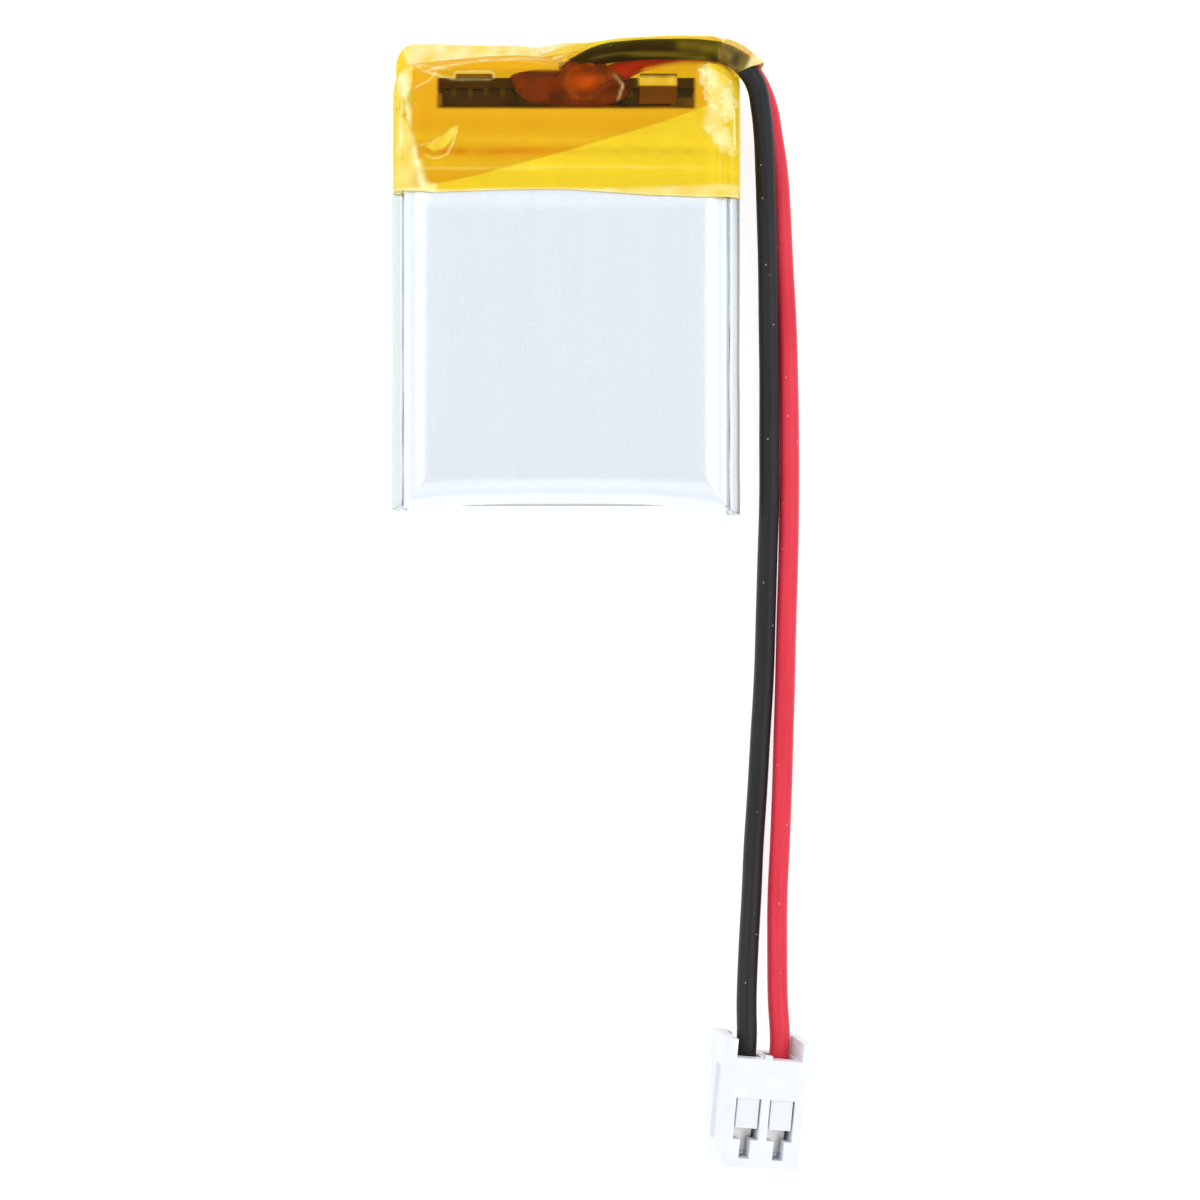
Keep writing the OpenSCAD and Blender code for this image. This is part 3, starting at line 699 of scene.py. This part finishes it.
def folded_seals(start, stop, sections):
    """Both side seals, from their bottom ends plus start up to stop.

    Each of the sections comes with its thickness."""
    parts = []
    for turn, end in SEALS:
        stations = spaced(end + start, stop, 0.3)
        part = joined(*[ribbon(seal_line(section, turn), stations, thick,
                               lambda y: seal_trim(end, y))
                        for section, thick in sections])
        parts.append(part if turn > 0 else mirrored(part))
    return parts


def pocket_top(x, y):
    """The cup's flap at the head stands up over the two tab films."""
    return 0.36 + 0.29 * smooth((2.3 - abs(abs(x) - 5.4)) / 0.2)


def cover_low(x, y):
    """The back sheet's lower face, which rises where the tape goes under it."""
    rise = 0.12 * smooth((y - 4.5) / 0.8)
    return 0.01 + rise + 0.004 * wobble(x, y, 0, 5, 9)


def make_pouch(looks):
    """The drawn front sheet and the flat back sheet, each with its folded seals."""
    cup = make_mesh("foil_cup", *cup_shell())
    finish_mesh(cup)
    thicken(cup, FOIL_THICK)
    seals = folded_seals(0.03, CUP_SEAL_STOP, [(CUP_SEAL, 0.1), (CUP_FOLD, 0.14)])
    seals.append(plate(FLAP_HALF, FLAP_LOW, FLAP_HIGH,
                       lambda x, y: pocket_top(x, y) - FOIL_THICK, pocket_top, 0.2))
    rest = make_mesh("seals", *joined(*seals))
    finish_mesh(rest)
    join_meshes(cup, rest)
    place(cup, looks["foil"], ["pouch_cup"])

    back = plate(10.0, CUP_END - 0.08, FLAP_HIGH, cover_low,
                 lambda x, y: cover_low(x, y) + 0.1)
    seals = folded_seals(0, COVER_SEAL_STOP, [(COVER_SEAL, 0.09)])
    cover = make_mesh("foil_cover", *joined(back, *seals))
    finish_mesh(cover)
    place(cover, looks["seal"], ["pouch_cover"])


def join_meshes(target, other):
    """Adds the other object's mesh to the target and removes the other."""
    bm = bmesh.new()
    bm.from_mesh(target.data)
    bm.from_mesh(other.data)
    bm.to_mesh(target.data)
    bm.free()
    bpy.data.objects.remove(other)


# ---------------------------------------------------------------- film

# Edges of the film in plan, as (x, y), and the width of its flat flap beyond the pack
HEAD_EDGE = [(-10.2, 12.55), (-10.13, 13.1), (-9.97, 13.52), (-9.65, 13.9), (-9.2, 14.08),
             (-7, 14.05), (-4.7, 13.99), (-3, 14.0), (-1.6, 13.86), (0, 13.62), (1.2, 13.53),
             (2.4, 13.62), (4, 13.78), (6, 13.86), (8.6, 13.86), (9.1, 13.7), (9.6, 13.34),
             (10.0, 12.87), (10.2, 12.5)]
MOUTH_EDGE = [(-10.2, 4.92), (-9, 4.84), (-7.8, 4.72), (-5, 4.82), (-3.1, 4.88), (0, 4.9),
              (4.8, 4.57), (8, 4.44), (10.2, 4.52)]
FLAP_WIDTH = [(-10, 1.15), (-9, 1.1), (-4.7, 0.58), (0, 0.45), (2.9, 0.12), (4, 0.02)]
DIAGONAL = [(-9.5, 4.9), (-8, 5.1), (-5.4, 5.65), (-2.6, 6.4), (1.7, 7.6), (5.7, 8.85),
            (8.5, 9.85)]
FLAP_Z = 0.45


def film_top(x, y):
    """Height of the outer film's upper face, before its wrinkles."""
    # It sinks over the board and past it, and comes down onto the foil at its mouth edge
    edge = along(HEAD_EDGE, x) - y
    core = TAPE_TOP - 0.3 * smooth((y - 9.6) / 1.5) - 0.5 * smooth((y - 11) / 1.6)
    flap = along(FLAP_WIDTH, x)
    rise = smooth((edge - flap) / 1.05) ** 0.6
    core -= 0.1 * smooth(1.2 - (y - along(MOUTH_EDGE, x)) / 0.6)
    z = FLAP_Z + (core - FLAP_Z) * rise
    # The black wire holds it up like a tent
    d, _ = near(BLACK_ROUTE[:UNDER_FILM], x, y)
    crest = 4.56 + 0.3 * smooth((x - 0.4) / 3)
    over_wire = (crest - 0.9 * max(0, d - 0.5) ** 1.5) * smooth((x + 3.4) / 3.8)
    z = max(z, over_wire)
    # Its side edges are round
    q = clamp((abs(x) - (TAPE_HALF - TAPE_EDGE_R)) / TAPE_EDGE_R)
    return z - min(TAPE_EDGE_R, z - 0.3) * (1 - math.sqrt(1 - q * q))


CREASES = [
    # a bent line in plan, height, width at its two ends, haze_and_sheen (pale film, mostly
    # painted sheen), tone (painted shade), painted_glow (painted light)
    # pale creases down the left side: painted sheen
    ([(-9.6, 11.9), (-9.3, 10.2), (-9, 8.3)], 0.09, (0.3, 0.1), 0.5, 0, 0),
    ([(-9, 8.3), (-8.6, 6.3), (-8.2, 4.6)], 0.09, (0.1, 0.26), 0.42, 0, 0),
    ([(-9.9, 11.6), (-9.6, 9.7), (-9.6, 7.2)], -0.05, (0.1, 0.12), 0.3, 0, 0.2),
    ([(-8.9, 12.3), (-8.2, 11.8), (-7.2, 11.5), (-6.3, 11.3)], 0.05, (0.05, 0.08), 0.4, 0, 0),
    ([(-8.8, 11.7), (-7.1, 12.1), (-4.9, 12.5), (-1.8, 12.7), (1, 12.8)], 0.05,
     (0.06, 0.08), 0.4, 0, 0),
    ([(-9.1, 12.5), (-8.1, 12.1), (-6.5, 11.9)], 0.05, (0.1, 0.05), 0.3, 0, 0.1),
    ([(-9, 10.7), (-7.9, 11.3), (-7.5, 11.9)], 0.04, (0.05, 0.05), 0.3, 0, 0),
    # the leaf-shaped fold, brighter: painted light
    ([(-8.4, 7), (-7.8, 6.7), (-7.4, 6.7), (-6.9, 6.9), (-6.6, 7.5), (-6.4, 8.1),
      (-6.3, 8.6)], 0.08, (0.05, 0.07), 0.22, 0, 0.3),
    ([(-8.7, 7.4), (-7.8, 7.6), (-7.1, 8), (-6.3, 8.6)], 0.05, (0.04, 0.05), 0.2, 0, 0),
    # a band of painted shade across the film
    ([(-9.2, 7.1), (-4.9, 7.1), (0, 7.1), (5, 7.1), (9.1, 7.1)], -0.03, (0.2, 0.26), 0,
     0.4, -0.12),
    ([(6.2, 13.3), (7.8, 13.2), (9.2, 13.0), (10.4, 12.2)], 0.02, (0.25, 0.5), 0.01, 0, 0.08),
    ([(-9.1, 6.1), (-4.9, 6.1), (-1, 6.1)], 0.02, (0.08, 0.1), 0.1, 0, 0.05),
    ([(-2.9, 6.2), (3, 6.2), (8.4, 6.1)], 0.02, (0.06, 0.08), 0.14, 0, 0.05),
    # pale creases down the right side: painted sheen
    ([(7.7, 12), (8.2, 11.6), (8.4, 10.9)], 0.07, (0.08, 0.2), 0.3, 0, 0),
    ([(8.8, 11.1), (9.3, 10.5), (9.5, 9.9)], 0.06, (0.1, 0.16), 0.2, 0, 0),
    ([(8.2, 10.2), (8.5, 9.6), (8.4, 8.9)], 0.06, (0.1, 0.18), 0.15, 0, 0),
    ([(8.4, 8.7), (8.9, 7.9), (9.2, 7.3)], 0.07, (0.18, 0.1), 0.25, 0, 0),
    ([(9.8, 9.6), (9.8, 8.4), (9.8, 7.3)], 0.05, (0.05, 0.06), 0.9, 0, 0),
    ([(8.2, 12), (9.1, 11.6), (9.8, 11.1)], 0.05, (0.1, 0.12), 0.2, 0, 0),
    ([(-1.6, 10.8), (-0.6, 11.8), (0.8, 12.1)], 0.04, (0.08, 0.08), 0, 0.4, 0),
    ([(2.7, 11.7), (3.3, 11), (3, 10)], 0.03, (0.05, 0.06), 0.22, 0, 0),
    ([(1.2, 12.5), (3, 12.8), (5, 12.85), (8.2, 12.75)], 0.03, (0.05, 0.08), 0.01, 0, 0.05),
    ([(3.6, 12.65), (5.5, 12.7), (8.6, 12.5)], -0.02, (0.05, 0.1), 0.01, 0, 0.06),
    ([(-6.5, 11.4), (-6.5, 11.7), (-6.3, 11.8), (-4.4, 11.8), (-4.2, 11.7),
      (-4.2, 11.3)], 0.03, (0.045, 0.045), 0.45, 0, 0),
    ([(-6.4, 11.3), (-4.3, 11.3)], 0.02, (0.04, 0.04), 0.3, 0, 0),
]
POOLS = [
    # a closed outline in plan, its haze_and_sheen (pale film, mostly painted sheen), tone
    # (painted shade) and painted_glow (painted light)
    # the pale wedge along the left side: painted sheen
    ([(-9.8, 9.3), (-9.2, 8.7), (-8.7, 6.9), (-8.3, 5.3), (-7.5, 5.2), (-7.6, 4.5),
      (-10, 4.5)], 0.3, 0, 0.25),
    # a painted glint over the tab's fold
    ([(4.2, 10.98), (6.38, 10.98), (6.38, 11.56), (4.2, 11.56)], 0.03, 0, 0.22),
    ([(-10.1, 4.7), (-7.7, 4.6), (-3, 4.8), (0, 4.8), (4.8, 4.6), (10.1, 4.3),
      (10.1, 5.2), (4.8, 5), (0, 4.9), (-3, 4.9), (-7.7, 4.9), (-10.1, 5)],
     0.34, 0, 0),
    ([(-10, 12.1), (-9, 12.1), (-9.1, 10.8), (-9.3, 10.1), (-9.7, 10.6)], 0.4, 0, 0),
    ([(-8.7, 6.5), (-8.5, 4.8), (-7.9, 4.8), (-8.4, 6.6)], 0.2, 0, 0),
    # the leaf-shaped fold, lighter and brighter: painted light
    ([(-8.1, 7.4), (-7.7, 7.1), (-7.2, 7.2), (-6.8, 7.6), (-6.5, 8.1), (-6.3, 8.6),
      (-6.7, 8.4), (-7.1, 8), (-7.6, 7.7)], 0.06, -0.2, 0.5),
    ([(-9.9, 14.1), (-9.4, 12.7), (-7, 12.85), (-4.7, 13.05), (-2, 13.2), (0, 13.4),
      (2.6, 13.9), (0, 14.2)], 0.76, 0, -0.25),
    ([(-7.8, 9.6), (-7.8, 9.1), (7.5, 9.1), (7.5, 9.6)], 0, 0.1, 0.05),
]
SHEEN_PATCHES = [
    # a closed outline in plan of a ragged patch of painted sheen on the film, and its
    # haze_and_sheen
    ([(7.7, 12), (8.4, 12), (8.9, 11.4), (9.7, 10.9), (9.8, 9.6), (9.3, 8.9),
      (8.2, 9.3), (8.3, 10.5)], 0.66),
    ([(8.1, 9.2), (8.9, 9), (9.4, 8.1), (9.7, 7.2), (9, 7.1), (8.6, 7.8), (8, 8.5)],
     0.6),
]


def inside(outline, x, y):
    """How deep (x, y) lies inside an outline, or minus how far outside."""
    within = False
    for (ax, ay), (bx, by) in zip(outline, outline[1:] + outline[:1]):
        if (ay > y) != (by > y) and x < ax + (bx - ax) * (y - ay) / (by - ay):
            within = not within
    d, _ = near(outline + outline[:1], x, y)
    return d if within else -d


def film_marks(x, y, weight):
    """What the creases, pools and sheen patches give the film at (x, y): rise, haze_and_sheen,
    tone (painted shade) and painted_glow (painted light).
    """
    sums = [0.0, 0.0, 0.0, film_painted_glow(x, y)]
    for line, height, widths, *amounts in CREASES:
        d, t = near(line, x, y)
        width = widths[0] + (widths[1] - widths[0]) * t
        if d > 3 * width:
            continue
        k = math.exp(-(d / width) ** 2) * smooth(min(t, 1 - t) * 6 + 0.15)
        broken = k * clamp(0.85 + 0.9 * wobble(x, y, 0, 0.7, 31), 0.25, 1.3)
        sums[0] += height * k
        for i, amount in enumerate(amounts):
            sums[i + 1] += amount * broken
    for outline, *amounts in POOLS:
        k = smooth(inside(outline, x, y) / 0.25 + 0.5)
        k *= clamp(0.85 + 0.8 * wobble(x, y, 0, 0.9, 32), 0.3, 1.3)
        for i, amount in enumerate(amounts):
            sums[i + 1] += amount * k
    for outline, haze_and_sheen in SHEEN_PATCHES:
        depth = inside(outline, x, y)
        if depth > -0.3:
            ragged = wobble(x, y * 0.6, 0, 0.62, 33) + 0.6 * wobble(x, y, 0, 0.24, 34)
            sums[1] += haze_and_sheen * (0.5 * smooth(depth / 0.5 + 0.5)
                               + 0.5 * smooth((ragged + depth * 0.6 + 0.05) / 0.3))
    return [value * weight for value in sums]


def over_parts(x, y):
    """1 over the dark board and wires, 0 over the foil and the head's light end."""
    board = (smooth((y - BOARD_LOW) / 0.16) * smooth((BOARD_HIGH - y) / 0.3)
             * smooth((BOARD_HALF - abs(x)) / 0.25))
    black, _ = near(BLACK_ROUTE[:UNDER_FILM], x, y)
    red, _ = near(RED_ROUTE[:UNDER_FILM], x, y)
    return max(board, smooth((1.0 - black) / 0.3), smooth((0.85 - red) / 0.3))


def film_painted_glow(x, y):
    """How much painted light the outer film's lit amber layer adds: most where it lies
    straight on the foil, less over the inner film, none over the board and wires, with two
    painted bright bands.
    """
    double = smooth((y - along(DIAGONAL, x)) / 0.12 + 0.5) * smooth((8.3 - x) / 0.2)
    bands = sum(math.exp(-((y + 0.02 * x - at) / 0.38) ** 2) for at in (7.75, 6.22))
    return (0.5 - 0.3 * double + 0.12 * bands) * (1 - over_parts(x, y))


def film_grid(columns, rows, wall_rows):
    """The outer film as one open sheet: top, side walls, head wall and back."""
    half = TAPE_HALF
    verts, faces = [], []

    def across(i):
        # Columns stand closer together towards the sides
        s = 2 * i / columns - 1
        return half * s * (1.32 - 0.32 * s * s)

    def patch(grid):
        start = len(verts)
        width = len(grid[0])
        for row in grid:
            verts.extend(row)
        for i in range(len(grid) - 1):
            for j in range(width - 1):
                a = start + i * width + j
                faces.append((a, a + 1, a + width + 1, a + width))

    def at(i, j):
        x = across(i)
        low, high = along(MOUTH_EDGE, x), along(HEAD_EDGE, x)
        return x, low + (high - low) * (j / rows)

    def wall(x, y, out_x, out_y, depth=0.1):
        top = film_top(x, y)
        column = []
        for k in range(wall_rows + 1):
            t = k / wall_rows
            z = top + (0.12 - top) * t
            bulge = depth * math.sin(math.pi * t) ** 0.8 * clamp(top)
            column.append((x + out_x * bulge, y + out_y * bulge, z))
        return column

    patch([[(*at(i, j), film_top(*at(i, j))) for j in range(rows + 1)]
           for i in range(columns + 1)])
    patch([[(*at(i, j), back_z(*at(i, j))) for j in range(rows + 1)]
           for i in range(columns + 1)])
    for i, turn in ((0, -1), (columns, 1)):
        patch([wall(*at(i, j), turn, 0) for j in range(rows + 1)])
    patch([wall(*at(i, rows), 0, 1, 0.03) for i in range(columns + 1)])
    return verts, faces


def back_z(x, y):
    """Height of the film's face under the pouch, which turns up at its sides."""
    edge = min(TAPE_HALF - abs(x), along(HEAD_EDGE, x) - y)
    return 0.12 * (1 - smooth(edge / 0.4))


def wrinkle(obj, seed):
    """Moves the film's points along their normals and writes its haze_and_sheen, tone (painted
    shade) and painted_glow (painted light).
    """
    bm = bmesh.new()
    bm.from_mesh(obj.data)
    layers = [bm.verts.layers.float.new(key) for key in ("haze_and_sheen", "tone", "painted_glow")]
    bm.normal_update()
    moves = []
    for vert in bm.verts:
        x, y, z = (c / MM for c in vert.co)
        up = smooth((vert.normal.z + 0.2) / 0.6)
        rise, haze_and_sheen, tone, painted_glow = film_marks(x, y, up)
        # It is clear over the black wire and pale along its mouth edge
        wire, _ = near(BLACK_ROUTE[:UNDER_FILM + 1], x, y)
        haze_and_sheen *= 1 - 0.85 * smooth((0.95 - wire) / 0.35)
        haze_and_sheen += 0.4 * up * smooth(1.2 - (y - along(MOUTH_EDGE, x)) / 0.12)
        loose = smooth((y - 9.3) / 1.5) + 0.6 * smooth((abs(x) - 8) / 1.0)
        ripple = 0.012 * wobble(x, y, z, 1.1, seed) + 0.035 * loose * wobble(
            x, y * 0.7, z, 1.3, seed + 1)
        if vert.normal.z < -0.3:
            rise, ripple = 0, 0.3 * min(ripple, 0)
        moves.append(max(rise + ripple, -0.045))
        # Faces turned away from straight up get more haze_and_sheen: painted sheen on the
        # film's sides
        for layer, value in zip(layers, (haze_and_sheen + 0.14 * (1 - up), tone, painted_glow)):
            vert[layer] = clamp(value, 0, 0.85)
    for vert, move in zip(bm.verts, moves):
        vert.co += vert.normal * move * MM
    bm.to_mesh(obj.data)
    bm.free()


def open_mouth(obj, clear):
    """Removes the film that the two wires would pass through."""
    bm = bmesh.new()
    bm.from_mesh(obj.data)
    gone = []
    for face in bm.faces:
        x, y, z = (c / MM for c in face.calc_center_median())
        if x > 9.1 and y > 11.2 and 1.7 < z < 4.62:
            black, _ = near(BLACK_ROUTE[AT_MOUTH], x, y)
            red, _ = near(RED_ROUTE[AT_MOUTH], x, y)
            if min(black, red) < clear:
                gone.append(face)
    bmesh.ops.delete(bm, geom=gone, context="FACES")
    bm.to_mesh(obj.data)
    bm.free()


def make_outer_film(looks):
    """The last wrap of tape, from the flap at the head to its mouth edge."""
    obj = make_mesh("outer_film", *film_grid(210, 110, 16))
    finish_mesh(obj)
    open_mouth(obj, 0.72)
    wrinkle(obj, 11)
    thicken(obj, OUTER_THICK)
    for face in obj.data.polygons:
        face.use_smooth = True
    place(obj, looks["film"], ["outer_tape"])


def make_inner_film(looks):
    """The first wrap, whose free edge runs aslant under the outer film."""
    columns, rows = 130, 80
    verts, faces = [], []
    for i in range(columns + 1):
        x = -8.95 + 17.25 * i / columns
        low = along(DIAGONAL, x)
        high = along(HEAD_EDGE, x) - along(FLAP_WIDTH, x) - 0.2
        for j in range(rows + 1):
            y = low + (high - low) * j / rows
            verts.append((x, y, film_top(x, y) - 0.13 + 0.012 * wobble(x, y, 0, 1.7, 21)))
    for i in range(columns):
        for j in range(rows):
            a = i * (rows + 1) + j
            faces.append((a, a + rows + 1, a + rows + 2, a + 1))
    obj = make_mesh("inner_film", verts, faces)
    finish_mesh(obj)
    # painted_glow: painted light where the film lies over the foil, none over the board and
    # wires
    painted_glow = obj.data.attributes.new("painted_glow", "FLOAT", "POINT")
    for value, vert in zip(painted_glow.data, obj.data.vertices):
        value.value = 0.6 * (1 - over_parts(vert.co.x / MM, vert.co.y / MM))
    thicken(obj, INNER_THICK)
    place(obj, looks["inner_film"], ["inner_tape"])


def make_mouth(looks):
    """The film's lip round the two wires, where they leave the pack."""
    line = [(9.0, 13.02), (9.5, 12.85), (10.0, 12.58), (10.35, 12.28), (10.62, 11.98)]
    sides, stations = 40, 16
    # The wires lie one over the other, so its section is two half circles set apart
    middle_z, half_gap = 3.2, 0.68
    verts, faces = [], []
    for k in range(stations + 1):
        t = k / stations * (len(line) - 1)
        i = min(int(t), len(line) - 2)
        f = t - i
        x = line[i][0] + (line[i + 1][0] - line[i][0]) * f
        y = line[i][1] + (line[i + 1][1] - line[i][1]) * f
        dx, dy = line[i + 1][0] - line[i][0], line[i + 1][1] - line[i][1]
        size = math.hypot(dx, dy)
        dx, dy = dx / size, dy / size
        flare = 0.86 + 0.06 * math.sin(k / stations * 3) + 0.1 * smooth(k / stations * 2 - 1)
        for s in range(sides):
            a = 2 * math.pi * s / sides
            across = flare * math.cos(a)
            up = middle_z + half_gap * (1 if math.sin(a) > 0 else -1) + flare * math.sin(a)
            lean = 0.35 * across * smooth(k / stations)
            across += 0.04 * math.sin(5 * a + k * 0.4) * smooth(k / stations)
            verts.append((x - dy * across + dx * lean, y + dx * across + dy * lean, up))
    for k in range(stations):
        for s in range(sides):
            n = (s + 1) % sides
            faces.append((k * sides + s, k * sides + n, (k + 1) * sides + n,
                          (k + 1) * sides + s))
    obj = make_mesh("mouth_film", verts, faces)
    finish_mesh(obj)
    bm = bmesh.new()
    bm.from_mesh(obj.data)
    haze_and_sheen_layer = bm.verts.layers.float.new("haze_and_sheen")
    painted_glow_layer = bm.verts.layers.float.new("painted_glow")
    for vert in bm.verts:
        x, y, z = (c / MM for c in vert.co)
        # Streaky painted highlights along the film, and its far end paler
        vert[painted_glow_layer] = clamp(0.05 + 0.1 * wobble(x, y, z, 0.45, 45))
        vert[haze_and_sheen_layer] = 0.02 + 0.6 * smooth((x - y * 0.5 - 4.3) / 0.35)
    bm.to_mesh(obj.data)
    bm.free()
    thicken(obj, MOUTH_THICK)
    place(obj, looks["sleeve"], ["wire_tape"])


def make_wrap(looks):
    """The small piece of film round the soldered joints, as a crumpled pillow."""
    middle, half = (0.85, 11.05, 3.3), (2.6, 1.4, 1.0)
    obj = make_object("joint_wrap", bpy.data.meshes.new("joint_wrap"))
    bm = bmesh.new()
    bmesh.ops.create_icosphere(bm, subdivisions=5, radius=1)
    for vert in bm.verts:
        x, y, z = vert.co
        # A pillow with uneven sides and a flat tail to the left
        puff = 1 + 0.16 * wobble(x, y, z, 0.5, 41) + 0.07 * wobble(x, y, z, 0.2, 42)
        place_at = [math.copysign(abs(c) ** 0.9, c) * puff for c in (x, y, z)]
        tail = smooth(-place_at[0] - 0.15)
        place_at[0] *= 1 + 0.5 * tail
        place_at[2] *= 1 - 0.45 * tail
        x, y, z = (m + h * c for m, h, c in zip(middle, half, place_at))
        # Its top bulges over the two wire ends, and stays under the outer film
        if z > middle[2]:
            for route, lift in ((BLACK_ROUTE[:2], 3.75), (RED_ROUTE[:2], 3.5)):
                d, _ = near(route, x, y)
                z = max(z, min(lift + math.sqrt(max(0, 0.46 - d * d)), film_top(x, y) - 0.22))
        vert.co = (x * MM, y * MM, z * MM)
    painted_glow = bm.verts.layers.float.new("painted_glow")
    haze_and_sheen = bm.verts.layers.float.new("haze_and_sheen")
    for vert in bm.verts:
        x, y, z = (c / MM for c in vert.co)
        # A painted bright core in its middle, on a lit amber base
        core = math.exp(-((x - 1.0) / 0.95) ** 2 - ((y - 11.25) / 0.5) ** 2)
        vert[painted_glow] = clamp(0.24 + 0.5 * core + 0.24 * wobble(x, y, z, 0.8, 43))
        # A thin pale ring round the pillow: a painted highlight along its outline
        rim = abs(math.hypot(x - 1.1, y - 11.25) - 1.05)
        vert[haze_and_sheen] = 0.08 * math.exp(-(rim / 0.06) ** 2)
    bm.to_mesh(obj.data)
    bm.free()
    finish_mesh(obj)
    thicken(obj, INNER_THICK)
    place(obj, looks["wrap"])


# ---------------------------------------------------------------- housing and CAD nodes

def make_housing(looks):
    """The connector housing with its moulded edges rounded."""
    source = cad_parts["connector_housing"]
    obj = make_object("housing", source.data.copy())
    bm = bmesh.new()
    bm.from_mesh(obj.data)
    bmesh.ops.remove_doubles(bm, verts=bm.verts, dist=0.001 * MM)
    bmesh.ops.dissolve_limit(bm, angle_limit=math.radians(1), verts=bm.verts, edges=bm.edges)
    bm.to_mesh(obj.data)
    bm.free()
    bevel = obj.modifiers.new("bevel", "BEVEL")
    bevel.width = 0.07 * MM
    bevel.segments = 2
    bevel.limit_method = "ANGLE"
    bevel.angle_limit = math.radians(35)
    bevel.use_clamp_overlap = True
    apply_modifiers(obj)
    finish_mesh(obj, 0.0001, math.radians(38))
    place(obj, looks["nylon"], ["connector_housing"])
    return obj


NODE_LOOKS = {
    "cathode_sheet": "cathode", "anode_sheet": "anode", "inner_separator": "separator",
    "outer_separator": "separator", "winding_tape": "roll_tape", "negative_tab": "nickel",
    "positive_tab": "tab", "negative_tab_film": "seal_film", "positive_tab_film": "seal_film",
    "board_insulator": "paper", "circuit_board": "board", "mosfet_chip": "chip",
    "protection_chip": "chip", "chip_leads": "leads", "chip_resistors": "resistor",
    "chip_capacitor": "capacitor", "weld_strips": "nickel", "negative_solder": "solder",
    "positive_solder": "solder", "black_strands": "copper", "red_strands": "copper",
    "black_terminal": "contact", "red_terminal": "contact",
}


def finish_nodes(looks):
    """Gives every CAD node that stays its own finish."""
    for node, look in NODE_LOOKS.items():
        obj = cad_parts[node]
        for slot in obj.material_slots:
            slot.link = "OBJECT"
            slot.material = looks[look]


make_stage()
LOOKS = make_looks()
make_wires(LOOKS, make_housing(LOOKS))
make_pouch(LOOKS)
make_outer_film(LOOKS)
make_inner_film(LOOKS)
make_mouth(LOOKS)
make_wrap(LOOKS)
finish_nodes(LOOKS)
